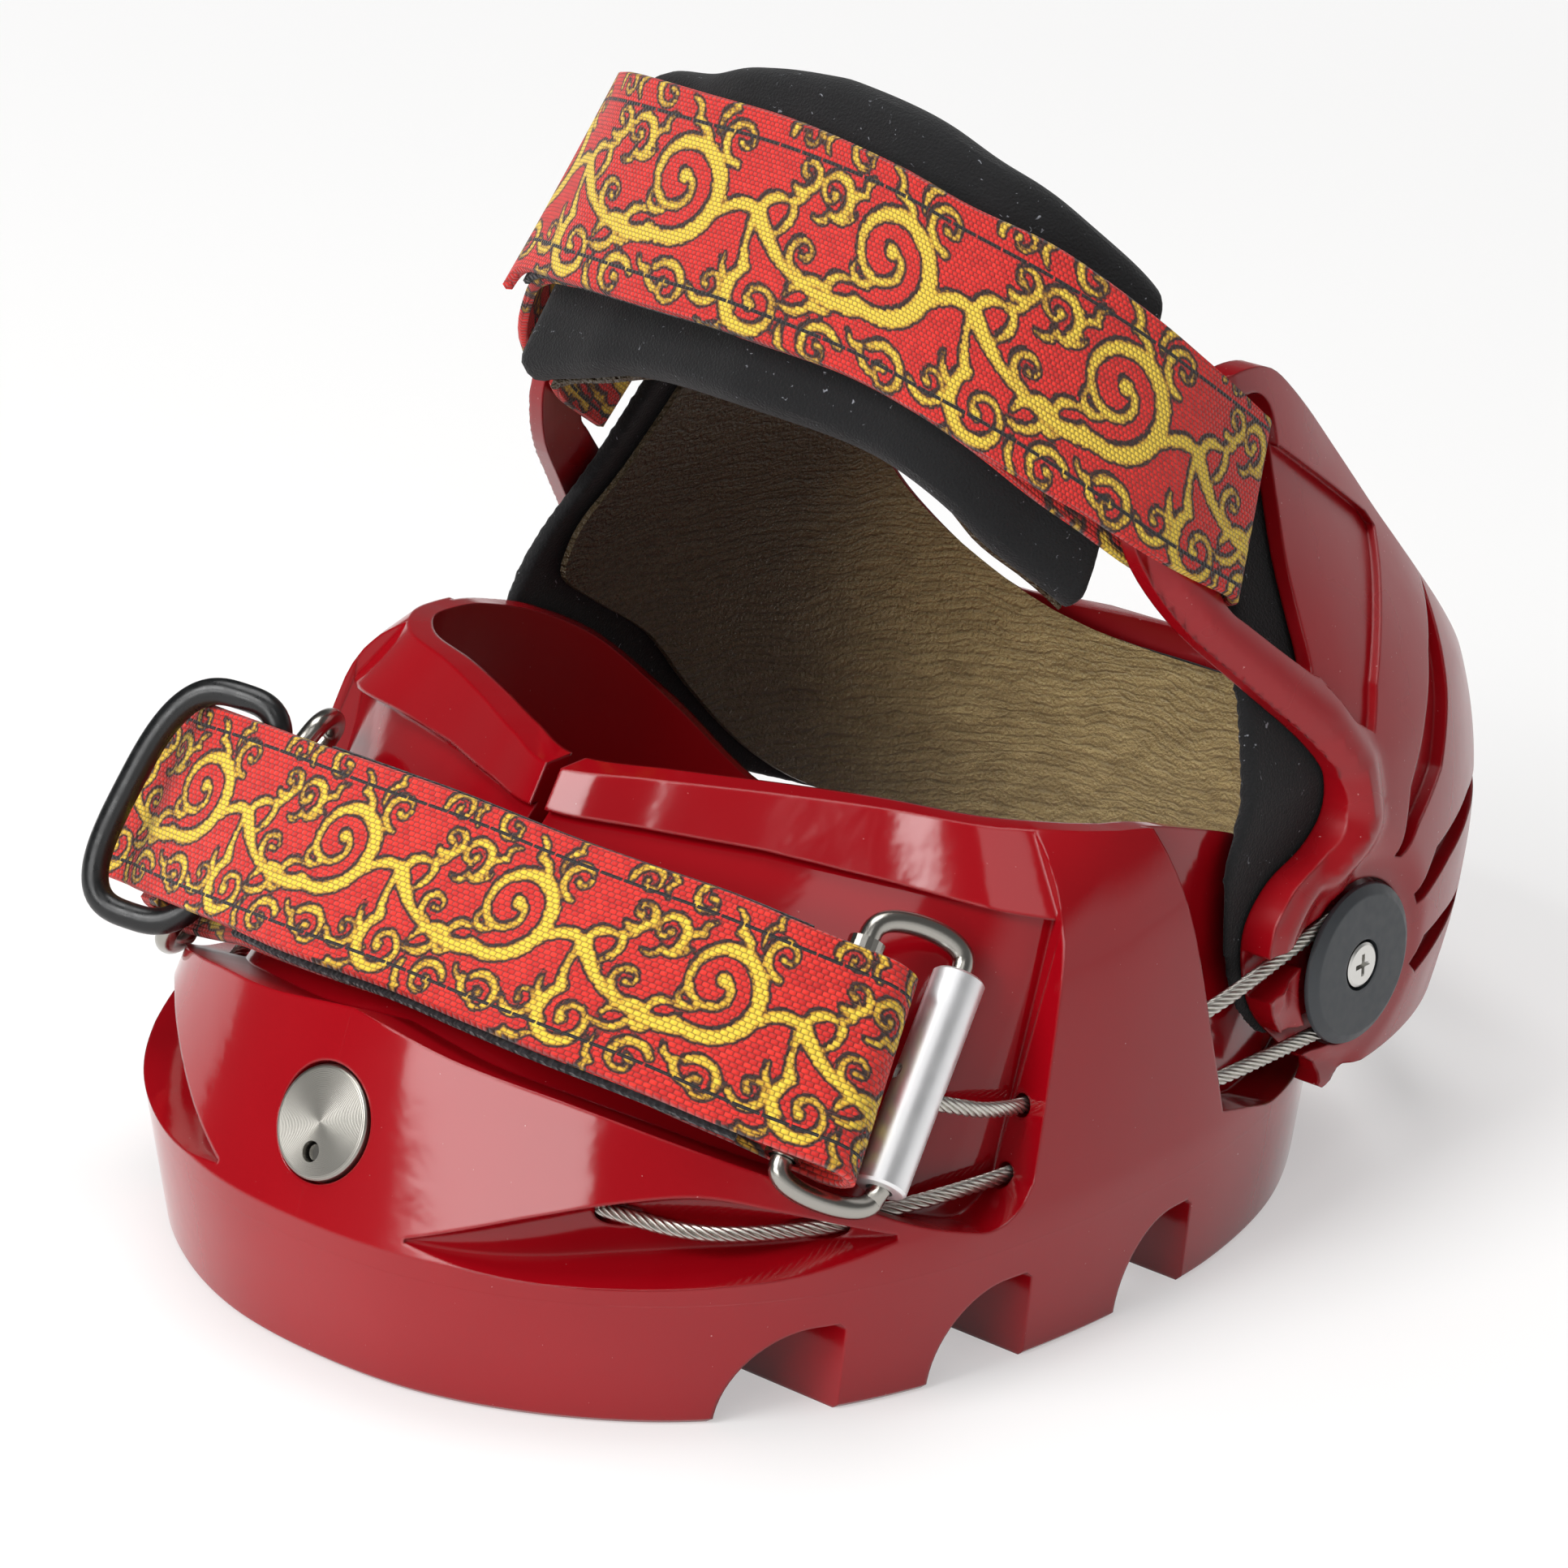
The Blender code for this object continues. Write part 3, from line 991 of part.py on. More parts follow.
# Pastern strap: round the right arm through its window, over the front, and sewn to the left arm
PASTERN_UPPER_EDGE = (
    (-0.0385, 0.0195, 0.1200), (-0.0360, 0.0165, 0.1218), (-0.0270, 0.0095, 0.1247),
    (-0.0140, 0.0064, 0.1255), (0.0, 0.0064, 0.1249), (0.0140, 0.0065, 0.1227),
    (0.0240, 0.0080, 0.1194), (0.0332, 0.0112, 0.1145), (0.0406, 0.0167, 0.1084),
    (0.0453, 0.0231, 0.1026), (0.0456, 0.0329, 0.0957))
PASTERN_LOWER_EDGE = (
    (-0.0415, 0.0015, 0.0975), (-0.0370, 0.0000, 0.1009), (-0.0260, -0.0040, 0.1027),
    (-0.0130, -0.0060, 0.1033), (0.0, -0.0057, 0.1029), (0.0160, -0.0041, 0.1010),
    (0.0272, -0.0032, 0.0981), (0.0368, -0.0008, 0.0937), (0.0444, 0.0039, 0.0889),
    (0.0495, 0.0107, 0.0830), (0.0517, 0.0207, 0.0767))
PASTERN_MIDDLE_STATION = 4
ARM_FOLD_RADIUS = 0.0033
ARM_HOLD_LENGTH = 0.025
PASTERN_SPACING = 0.0031
CROSSING_HOLD_LENGTH = 0.029
CROSSING_EASE_LENGTH = 0.016
SEWN_LENGTH = 0.014
PASTERN_PAD_THICKNESS = 0.005
PASTERN_PAD_DEPTH = 0.0036
PASTERN_PAD_WIDENING = 0.0075
PASTERN_LINING_DEPTH = 0.0034
PASTERN_LINING_WIDENING = -0.0010
PASTERN_TAPE_DEPTH = 0.0015
PASTERN_TAPE_STATIONS = 5
PASTERN_PAD_CUT_STATIONS = 8

pastern_outer = edge_pairs(fitted(PASTERN_UPPER_EDGE), fitted(PASTERN_LOWER_EDGE), BAND_STEPS)
pastern_right = pastern_outer[PASTERN_MIDDLE_STATION * BAND_STEPS:]
pastern_under_right = under_layer(pastern_right, ARM_HOLD_LENGTH, ARM_FOLD_RADIUS, PASTERN_SPACING)
pastern_fold = folded(pastern_right, ARM_FOLD_RADIUS, FOLD_STEPS)[:-1]
crossing_depths = []
for length in run_lengths(pastern_right):
    share = 1 - min(max((length - CROSSING_HOLD_LENGTH) / CROSSING_EASE_LENGTH, 0.0), 1.0)
    crossing_depths.append(PASTERN_SPACING * share * share * (3 - 2 * share))
pastern_under_left = flipped(shifted(pastern_right, crossing_depths))
left_fold = [(mirrored(top), mirrored(low)) for top, low in pastern_fold]
sewn_end = []
for pair, length in zip(flipped(pastern_under_right), run_lengths(flipped(pastern_under_right))):
    if length <= SEWN_LENGTH:
        sewn_end.append(pair)
pastern_under = pastern_under_left[:-1] + pastern_under_right
pastern_path = (list(reversed(sewn_end)) + list(reversed(left_fold)) + pastern_under
                + list(reversed(pastern_fold)) + list(reversed(pastern_outer)))
band("pastern_strap", pastern_path, WEBBING_THICKNESS, RED_WEBBING)
pastern_tape = shifted(pastern_outer, PASTERN_TAPE_DEPTH)[1:PASTERN_TAPE_STATIONS]
band("pastern_strap_tape", pastern_tape, TAPE_THICKNESS, BLACK_TAPE)
pad_run = shifted(pastern_under, PASTERN_PAD_DEPTH, PASTERN_PAD_WIDENING)
pad_run = pad_run[PASTERN_PAD_CUT_STATIONS:-PASTERN_PAD_CUT_STATIONS]
band("pastern_pad", pad_run, PASTERN_PAD_THICKNESS, BLACK_FOAM)
pastern_lining = shifted(pad_run, PASTERN_LINING_DEPTH, PASTERN_LINING_WIDENING)
band("pastern_pad_lining", pastern_lining, LINING_THICKNESS, TAN_LINING)
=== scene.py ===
"""Horse hoof boot: how the boot looks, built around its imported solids.

Lengths are in metres, those passed to metres() in millimetres, and the print's in millimetres of webbing."""

import math

import bmesh
import bpy
import numpy as np
from mathutils import Matrix, Vector
from mathutils.geometry import convex_hull_2d


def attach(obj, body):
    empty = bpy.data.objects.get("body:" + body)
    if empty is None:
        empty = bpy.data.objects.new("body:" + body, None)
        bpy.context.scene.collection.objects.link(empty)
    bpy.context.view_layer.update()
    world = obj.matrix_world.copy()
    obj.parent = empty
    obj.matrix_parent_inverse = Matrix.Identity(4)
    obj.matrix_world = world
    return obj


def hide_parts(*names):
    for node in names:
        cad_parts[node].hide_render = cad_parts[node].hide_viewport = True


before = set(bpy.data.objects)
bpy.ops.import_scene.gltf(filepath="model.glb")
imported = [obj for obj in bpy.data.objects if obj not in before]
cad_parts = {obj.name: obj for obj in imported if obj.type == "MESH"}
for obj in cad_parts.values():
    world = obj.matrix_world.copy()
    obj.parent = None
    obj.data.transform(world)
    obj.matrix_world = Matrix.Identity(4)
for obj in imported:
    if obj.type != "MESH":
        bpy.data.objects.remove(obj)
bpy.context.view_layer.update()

# Camera: a long lens, two thirds of a metre away, a little above the boot and to its right.
# It stands as the photograph was taken, with the toe turned to the lower left.
VIEW_AZIMUTH = math.radians(41.311)
VIEW_ELEVATION = math.radians(22.373)
VIEW_ROLL = math.radians(0.246)
VIEW_DISTANCE = 0.6666
VIEW_RIGHT, VIEW_DOWN = 0.00291, 0.003557
towards = Vector((math.sin(VIEW_AZIMUTH) * math.cos(VIEW_ELEVATION),
                  -math.cos(VIEW_AZIMUTH) * math.cos(VIEW_ELEVATION), math.sin(VIEW_ELEVATION)))
level = Vector((math.cos(VIEW_AZIMUTH), math.sin(VIEW_AZIMUTH), 0))
upward = towards.cross(level)
view_right = level * math.cos(VIEW_ROLL) + upward * math.sin(VIEW_ROLL)
view_up = upward * math.cos(VIEW_ROLL) - level * math.sin(VIEW_ROLL)
view_target = Vector((0, 0, 0.05)) + view_right * VIEW_RIGHT - view_up * VIEW_DOWN
camera = bpy.data.objects.new("camera", bpy.data.cameras.new("camera"))
bpy.context.scene.collection.objects.link(camera)
camera.matrix_world = (Matrix.Translation(view_target + towards * VIEW_DISTANCE)
                       @ Matrix((view_right, view_up, towards)).transposed().to_4x4())
camera.data.lens = 131.14
camera.data.sensor_width = 36
camera.data.clip_start = 0.01
bpy.context.scene.camera = camera
bpy.context.scene.view_settings.view_transform = "Standard"


def colour(code):
    """The linear colour of an sRGB hex code."""
    parts = [int(code[i:i + 2], 16) / 255 for i in (1, 3, 5)]
    return (*(c / 12.92 if c <= 0.04045 else ((c + 0.055) / 1.055) ** 2.4 for c in parts), 1.0)


def feed(node, inputs):
    """Gives a node its inputs, by name or in order: plain values, sockets, or nodes with one result."""
    for key, value in inputs.items() if isinstance(inputs, dict) else enumerate(inputs):
        if isinstance(value, bpy.types.Node):
            value = next(socket for socket in value.outputs if socket.enabled)
        if isinstance(value, bpy.types.NodeSocket):
            node.id_data.links.new(value, node.inputs[key])
        else:
            node.inputs[key].default_value = value


def put(tree, kind, inputs=(), **settings):
    """A new shader node with its settings and its inputs."""
    node = tree.nodes.new("ShaderNode" + kind)
    for key, value in settings.items():
        setattr(node, key, value)
    feed(node, inputs)
    return node


def new_finish(name, **sockets):
    """A material with its Principled shader, whose plain values are set on its own sockets."""
    finish = bpy.data.materials.new(name)
    finish.use_nodes = True
    shader = finish.node_tree.nodes["Principled BSDF"]
    for key, value in sockets.items():
        shader.inputs[key.replace("_", " ")].default_value = value
    return finish, finish.node_tree, shader


# Stage: a wide sheet of white paper under the boot and a white room round it, with soft boxes.
# The paper fades into the white room, which is bright low down and dim overhead.
bpy.ops.object.select_all(action="DESELECT")
bpy.ops.mesh.primitive_plane_add(size=2.2)
floor = bpy.context.object
floor.name = "paper_floor"
paper, tree, shader = new_finish("white_paper", Base_Color=colour("#F4F3F2"), Roughness=0.9)
rays = put(tree, "LightPath")
where = put(tree, "TexCoord").outputs["Object"]
reach = put(tree, "VectorMath", [where], operation="LENGTH")
PAPER_GLOW = 0.45
fade = put(tree, "MapRange", [reach, 0.35, 0.95, PAPER_GLOW, 1.0], interpolation_type="SMOOTHSTEP")
in_gloss = put(tree, "Math", [rays.outputs["Is Glossy Ray"], PAPER_GLOW], operation="MULTIPLY")
share = put(tree, "Math", [rays.outputs["Is Camera Ray"], fade, in_gloss], operation="MULTIPLY_ADD")
glow = put(tree, "Emission")
mixed = put(tree, "MixShader", [share, shader, glow])
feed(tree.nodes["Material Output"], {"Surface": mixed})
floor.data.materials.append(paper)

room = bpy.data.worlds.new("white_room")
room.use_nodes = True
bpy.context.scene.world = room
tree = room.node_tree
rays = put(tree, "LightPath")
height = put(tree, "SeparateXYZ", [put(tree, "TexCoord").outputs["Generated"]])
dim = put(tree, "MapRange", [height.outputs[2], 0.12, 0.42, 0.85, 0.14], interpolation_type="SMOOTHSTEP")
leftward = put(tree, "MapRange", [height.outputs[0], -0.75, 0.10, 0.12, 1.0], interpolation_type="SMOOTHSTEP")
seen_there = put(tree, "Math", [dim, leftward], operation="MULTIPLY")
chosen = put(tree, "Mix", {0: rays.outputs["Is Glossy Ray"], 2: 0.26, 3: seen_there})
final = put(tree, "Mix", {0: rays.outputs["Is Camera Ray"], 2: chosen, 3: 1.0})
feed(tree.nodes["Background"], {"Strength": final, "Color": (1, 1, 1, 1)})
for name, place, size, power in (("key_soft_box", (-0.27, -1.05, 1.10), (0.80, 0.60), 13.5),
                                 ("front_strip_box", (0.0, -1.15, 0.50), (0.90, 0.26), 4.6),
                                 ("right_soft_box", (0.66, -0.66, 1.40), (0.60, 0.60), 1.6),
                                 ("top_soft_box", (-0.25, 0.20, 1.50), (0.90, 0.90), 11.0)):
    lamp = bpy.data.objects.new(name, bpy.data.lights.new(name, "AREA"))
    bpy.context.scene.collection.objects.link(lamp)
    lamp.location = place
    lamp.rotation_euler = (Vector((0, 0, 0.04)) - Vector(place)).to_track_quat("-Z", "Y").to_euler()
    lamp.data.shape = "RECTANGLE"
    lamp.data.size, lamp.data.size_y = size
    lamp.data.energy = power


# Boot shell: one cup moulded in red thermoplastic polyurethane, which leaves it glossy with crisp edges.
# The strap bed, the buckle recesses, the cable tunnels and the cleats are formed in the mould.
HALF_WIDTH, TOE_REACH, HEEL_REACH = 0.0623, 0.0762, 0.0615
COLLAR_HEIGHT, LIP_HEIGHT = 0.059, 0.018
BASE_OUTLINE = (
    (0.0, -1.0), (0.235, -0.982), (0.455, -0.915), (0.655, -0.805), (0.81, -0.655),
    (0.915, -0.475), (0.973, -0.275), (1.0, -0.07), (0.997, 0.17), (0.94, 0.43),
    (0.83, 0.66), (0.69, 0.85), (0.49, 0.96), (0.25, 1.0), (0.0, 1.0))
RIM_OUTLINE = (
    (0.0, -1.0), (0.205, -0.85), (0.40, -0.67), (0.60, -0.50), (0.79, -0.355),
    (0.912, -0.16), (0.968, 0.05), (0.995, 0.20), (1.0, 0.355), (0.985, 0.54),
    (0.93, 0.72), (0.80, 0.89), (0.59, 0.98), (0.30, 1.0), (0.0, 1.0))
RIM_HEIGHTS = (1.0, 0.997, 0.99, 0.982, 0.97, 0.955, 0.93, 0.888, 0.828, 0.72, 0.545, 0.33, 0.235, 0.21, 0.21)
BULGES = (0.42, 0.42, 0.45, 0.50, 0.58, 0.62, 0.60, 0.55, 0.55, 0.6, 0.8, 1.0, 1.0, 1.0, 1.0)
RIDGES = (0.68, 0.64, 0.593, 0.525, 0.44, 0.345, 0.285)
RIM_SIZE = (0.0562, 0.0345, 0.058)
CUP_FLOOR_SIZE, CUP_RIM_SIZE = (0.0535, 0.0625, 0.0545), (0.0528, 0.0305, 0.0535)
CUP_FLOOR = 0.009
SHELL_COLUMNS_EACH, SHELL_ROWS = 10, 22


def metres(*rows):
    """Rows of lengths in millimetres, in metres."""
    return [tuple(length / 1000 for length in row) for row in rows]


def curve_point(points, place):
    """The point at a place, counted in stations, on a smooth curve through the points."""
    last = len(points) - 1
    place = min(max(place, 0.0), float(last))
    first = min(int(place), last - 1)
    t = place - first
    around = (points[max(first - 1, 0)], points[first], points[first + 1], points[min(first + 2, last)])
    result = []
    for a, b, c, d in zip(*around):
        bend = 2 * a - 5 * b + 4 * c - d
        swing = 3 * b - a - 3 * c + d
        result.append((2 * b + (c - a) * t + bend * t * t + swing * t ** 3) / 2)
    return result


def curve_run(points, steps_each):
    count = (len(points) - 1) * steps_each
    return [curve_point(points, i / steps_each) for i in range(count + 1)]


def smooth_value(values, place):
    return curve_point([(v,) for v in values], place)[0]


def table_value(table, place):
    """A straight-line reading of a table of (place, value) pairs."""
    if place <= table[0][0]:
        return table[0][1]
    for (a, low), (b, high) in zip(table, table[1:]):
        if place <= b:
            return low + (high - low) * (place - a) / (b - a)
    return table[-1][1]


def outline_xy(outline, station, half_width, toe_reach, heel_reach):
    before, after = outline[1], outline[-2]
    looped = [(-before[0], before[1]), *outline, (-after[0], after[1])]
    x, y = curve_point(looped, abs(station) + 1)
    x = max(x, 0.0) * half_width * (1 if station >= 0 else -1)
    return Vector((x, y * (toe_reach if y < 0 else heel_reach), 0.0))


def base_xy(station, inset=0.0):
    return outline_xy(BASE_OUTLINE, station, HALF_WIDTH - inset, TOE_REACH - inset, HEEL_REACH - inset)


def rim_height(station):
    return COLLAR_HEIGHT * smooth_value(RIM_HEIGHTS, abs(station))


def inward(station):
    """The level direction from the wall towards the hoof."""
    along = (base_xy(min(station + 0.33, 14)) - base_xy(max(station - 0.33, -14))).normalized()
    return Vector((-along.y, along.x, 0.0))


def wall_point(station, height, depth=0.0):
    """A point of the outer wall, or the given depth under it."""
    lip = min(LIP_HEIGHT, rim_height(station) * 0.6)
    rise = (height - lip) / (rim_height(station) - lip)
    lean = smooth_value(BULGES, abs(station))
    share = lean * rise + (1 - lean) * max(rise, 0.0) ** 8 if rise < 1 else rise
    high = outline_xy(RIM_OUTLINE, station, *RIM_SIZE)
    place = base_xy(station).lerp(high, max(share, 0.0)) + inward(station) * depth
    place.z = height
    return place


def cup_point(station, rise):
    """A point of the wall's inside, from the cup's floor at 0 to the rim at 1."""
    low = outline_xy(BASE_OUTLINE, station, *CUP_FLOOR_SIZE)
    high = outline_xy(RIM_OUTLINE, station, *CUP_RIM_SIZE)
    place = low.lerp(high, rise)
    place.z = CUP_FLOOR + (rim_height(station) - CUP_FLOOR) * rise
    return place


def mesh_piece(name, points, faces, finish=None, sharp_angle=30):
    """A mesh object from points and faces, closed where its ends meet and facing outwards."""
    mesh = bpy.data.meshes.new(name)
    mesh.from_pydata([tuple(p) for p in points], [], faces)
    body = bmesh.new()
    body.from_mesh(mesh)
    bmesh.ops.remove_doubles(body, verts=body.verts, dist=0.000004)
    bmesh.ops.recalc_face_normals(body, faces=body.faces)
    if body.calc_volume(signed=True) < 0:
        bmesh.ops.reverse_faces(body, faces=body.faces)
    body.to_mesh(mesh)
    body.free()
    mesh.shade_smooth()
    mesh.set_sharp_from_angle(angle=math.radians(sharp_angle))
    if finish:
        mesh.materials.append(finish)
    piece = bpy.data.objects.new(name, mesh)
    bpy.context.scene.collection.objects.link(piece)
    return piece


def loft(name, sections, finish=None, closed_run=False, sharp_angle=30):
    """A solid through closed sections of equal counts."""
    size, count = len(sections[0]), len(sections)
    faces = []
    for i in range(count if closed_run else count - 1):
        low, high = i * size, ((i + 1) % count) * size
        for j in range(size):
            k = (j + 1) % size
            faces.append((low + j, low + k, high + k, high + j))
    if not closed_run:
        faces += [tuple(range(size)), tuple(range((count - 1) * size, count * size))]
    return mesh_piece(name, [p for s in sections for p in s], faces, finish, sharp_angle)


def shape(piece, kind, **settings):
    """Shapes the piece with one modifier and applies it."""
    modifier = piece.modifiers.new(kind, kind)
    for key, value in settings.items():
        setattr(modifier, key, value)
    with bpy.context.temp_override(object=piece, active_object=piece, selected_objects=[piece]):
        bpy.ops.object.modifier_apply(modifier=modifier.name)


def cut(piece, cutter, operation="DIFFERENCE"):
    """Cuts a closed shape out of the piece, and throws the shape away."""
    shape(piece, "BOOLEAN", operation=operation, solver="EXACT", object=cutter)
    bpy.data.objects.remove(cutter, do_unlink=True)


def even_normals(piece):
    """Lets the large faces lead the shading, so that cut walls stay flat up to their crisp edges."""
    piece.data.shade_smooth()
    piece.data.set_sharp_from_angle(angle=math.radians(28))
    shape(piece, "WEIGHTED_NORMAL", keep_sharp=True, weight=60)


def bar(name, outline, x_from, x_to):
    """A straight bar along X with the given outline in the side view, for cutting."""
    return loft(name, [[(x, y, z) for y, z in outline] for x in (x_from, x_to)])


def polyurethane(name, low_roughness, high_roughness, dust_share):
    """Moulded polyurethane: an even gloss with fine dust and the mould's own faint ripple."""
    finish, tree, shader = new_finish(name, IOR=1.5)
    where = put(tree, "TexCoord").outputs["Object"]
    cloud = put(tree, "TexNoise", {"Vector": where, "Scale": 45.0, "Detail": 3.0})
    speck = put(tree, "TexNoise", {"Vector": where, "Scale": 2200.0, "Detail": 1.0})
    dust = put(tree, "MapRange", [speck, 0.80 - dust_share, 0.86 - dust_share])
    tint = put(tree, "Mix", {0: cloud, 6: colour("#8E0410"), 7: colour("#9C0814")}, data_type="RGBA")
    top = put(tree, "Mix", {0: dust, 6: tint, 7: colour("#C98C8A")}, data_type="RGBA")
    gloss = put(tree, "MapRange", [cloud, 0.35, 0.65, low_roughness, high_roughness])
    edge = put(tree, "Bevel", {"Radius": 0.0005}, samples=6)
    ripple = put(tree, "TexNoise", {"Vector": where, "Scale": 260.0, "Detail": 2.0})
    bump = put(tree, "Bump", {"Strength": 0.06, "Distance": 0.0004, "Height": ripple, "Normal": edge})
    feed(shader, {"Base Color": top, "Roughness": gloss, "Normal": bump})
    return finish, tree, shader, where, gloss, bump


red_shell, tree, shader, where, gloss, bump = polyurethane("moulded_red_polyurethane", 0.07, 0.12, 0.0)
# The mould's parting lines: one level line round the skirt and one upright on the toe.
apart = put(tree, "SeparateXYZ", [where])
skirt = put(tree, "Math", [apart.outputs[2], 0.0152, 0.00014], operation="COMPARE")
middle = put(tree, "Math", [apart.outputs[0], 0.0, 0.00016], operation="COMPARE")
lines = put(tree, "Math", [skirt, middle], operation="MAXIMUM")
seam = put(tree, "Bump", {"Strength": 0.5, "Distance": 0.0002, "Height": lines, "Normal": bump})

# Inside the cup, where the mould's core stood, the surface is duller, and its shine is turned down as painted shade
# that darkens the cup's inside.
beside = put(tree, "VectorMath", [where, (1, 1, 0)], operation="MULTIPLY")
facing_out = put(tree, "NewGeometry").outputs["Normal"]
turned_in = put(tree, "VectorMath", [beside, facing_out], operation="DOT_PRODUCT")
inside_cup = put(tree, "MapRange", [turned_in, -0.008, -0.016])
dull = put(tree, "Math", [inside_cup, 0.25, gloss], operation="MULTIPLY_ADD")
# Painted shade: less specular shine inside the cup.
painted_shade_shine = put(tree, "MapRange", {0: inside_cup, 3: 0.5, 4: 0.08})
feed(shader, {"Roughness": dull, "Specular IOR Level": painted_shade_shine, "Normal": seam})

sections = []
columns = 28 * SHELL_COLUMNS_EACH
for column in range(columns):
    station = -14 + column / SHELL_COLUMNS_EACH
    lip = min(LIP_HEIGHT, rim_height(station) * 0.6)
    foot = base_xy(station, 0.0021)
    waist = wall_point(station, lip)
    section = [foot + inward(station) * 0.0006, foot.lerp(waist, 0.035)]
    section += [foot.lerp(waist, t) for t in (0.15, 0.35, 0.6, 0.85)]
    climb = rim_height(station) - lip
    section += [wall_point(station, lip + climb * row / SHELL_ROWS) for row in range(SHELL_ROWS + 1)]
    section += [cup_point(station, rise) for rise in (1.0, 0.85, 0.7, 0.55, 0.4, 0.25, 0.1, 0.0)]
    sections.append(section)
size = len(sections[0])
faces = []
for i in range(columns):
    low, high = i * size, ((i + 1) % columns) * size
    faces += [(low + j, low + j + 1, high + j + 1, high + j) for j in range(size - 1)]
faces += [tuple(i * size for i in range(columns)), tuple(i * size + size - 1 for i in range(columns))]
shell = mesh_piece("shell_moulding", [p for s in sections for p in s], faces, red_shell)

# The strap's bed narrows upwards from the ridge, and its lower corner ends in a quarter round.
BED_LOW_END, BED_HIGH_END, BED_STEPS = 5.84, 4.50, 90
ROUND_START, ROUND_RUN, ROUND_RISE = 5.42, 0.43, 0.0062
BED_DEPTH, BED_DROP = 0.0088, 0.0046
bed = []
for step in range(-BED_STEPS, BED_STEPS + 1):
    low_station, high_station = step / BED_STEPS * BED_LOW_END, step / BED_STEPS * BED_HIGH_END
    place = abs(low_station)
    corner_run = max(place - ROUND_START, 0.0) / ROUND_RUN
    ridge = COLLAR_HEIGHT * smooth_value(RIDGES, place) + ROUND_RISE * (1 - math.sqrt(1 - corner_run ** 2))
    depth = BED_DEPTH * table_value(((0, 1.0), (2, 0.85), (4, 0.80), (6, 0.78)), place)
    drop = BED_DROP * table_value(((0, 1.0), (3, 0.5), (4, 0.25), (6, 0.2)), place)
    corner = wall_point(low_station, ridge, depth) - Vector((0, 0, drop))
    edge = wall_point(low_station, ridge)
    rim = rim_height(high_station)
    collar = rim - COLLAR_HEIGHT * table_value(((0, 0.07), (2, 0.09), (4, 0.13), (6, 0.16)), abs(high_station))
    rim_edge = wall_point(high_station, rim)
    out = -inward(high_station)
    bed_top = rim_edge + out * ((rim - collar) * 1.1 - 0.0030)
    bed_top.z = collar
    collar_edge = bed_top + out * 0.0014
    bevel = rim_edge + out * 0.0002
    over = bevel + out * 0.003
    over.z = rim + 0.006
    bed.append([corner, corner.lerp(bed_top, 0.5), bed_top, collar_edge, bevel, over, over + out * 0.02,
                edge + (edge - corner) * 2.0])
cut(shell, loft("bed", bed))

# Behind the side flanges the wall steps down to a low, thin rim, for the heel piece to swing over.
STEP_LOW_END, STEP_HIGH_END, STEP_STEPS = 7.75, 6.05, 48
LEDGE_HEIGHT = 0.0203
step_sections = []
for step in range(-STEP_STEPS, STEP_STEPS + 1):
    side = 1 if step <= 0 else -1
    forward = abs(step) / STEP_STEPS
    low_station = side * (14 - forward * (14 - STEP_LOW_END))
    high_station = side * (14 - forward * (14 - STEP_HIGH_END))
    ledge = LEDGE_HEIGHT * table_value(((7.75, 1.0), (8.2, 0.91), (8.6, 0.81), (9.2, 0.775), (14, 0.76)),
                                 abs(low_station))
    rise = (ledge - CUP_FLOOR) / (rim_height(low_station) - CUP_FLOOR)
    out = -inward(low_station)
    corner = cup_point(low_station, min(rise, 1.0)) + out * 0.0024
    corner.z = ledge
    top = wall_point(high_station, rim_height(high_station), 0.0009)
    top.z = max(top.z, ledge + 0.0024)
    over = top + Vector((0, 0, 0.006))
    step_sections.append([corner, corner.lerp(top, 0.5), top, over, over - inward(high_station) * 0.02,
                          corner + out * 0.02])
cut(shell, loft("step", step_sections))

# A slit parts the two front flaps, pockets show the cables at the toe, and notches part the cleats.
cut(shell, bar("slit", ((-0.0762, 0.0475), (0, 0.0475), (0, 0.065), (-0.0762, 0.065)), -0.0011, 0.0011))
POCKETS = (
    (1.0, 0.0192, 0.0196, 0.0004), (1.5, 0.0180, 0.0218, 0.0024), (2.0, 0.0174, 0.0238, 0.0044),
    (2.6, 0.0174, 0.0256, 0.0062), (3.2, 0.0176, 0.0262, 0.0066), (3.8, 0.0180, 0.0244, 0.0062),
    (4.3, 0.0190, 0.0224, 0.0044), (4.7, 0.0200, 0.0206, 0.0012))
for side in (1, -1):
    pocket = []
    for station, low_height, high_height, depth in curve_run(POCKETS, 6):
        station *= side
        height = (low_height + high_height) / 2
        far = wall_point(station, height, -0.006)
        back = wall_point(station, height, depth)
        near = wall_point(station, height, depth / 2)
        rise = Vector((0, 0, (high_height - low_height) / 2))
        pocket.append([far - rise, near - rise, back - rise * 0.85, back + rise * 0.55, near + rise,
                       far + rise * 1.5])
    cut(shell, loft("pocket", pocket))
NOTCHES = metres((-56, -44.5, 34), (-34.5, -21.5, 43), (-7.5, 4.5, 44.5))
for front, rear, inner in NOTCHES:
    outline = [(rear, -0.006), (rear, 0.0104), (rear - (rear - front) * 0.07, 0.0112)]
    for step in range(17):
        turn = math.pi / 2 * step / 16
        outline.append((front + (rear - front) * 0.72 * (1 - math.sin(turn)), 0.0112 * math.cos(turn)))
    outline.append((front, -0.006))
    for side in (1, -1):
        cut(shell, bar("notch", outline, side * inner, side * 0.068))

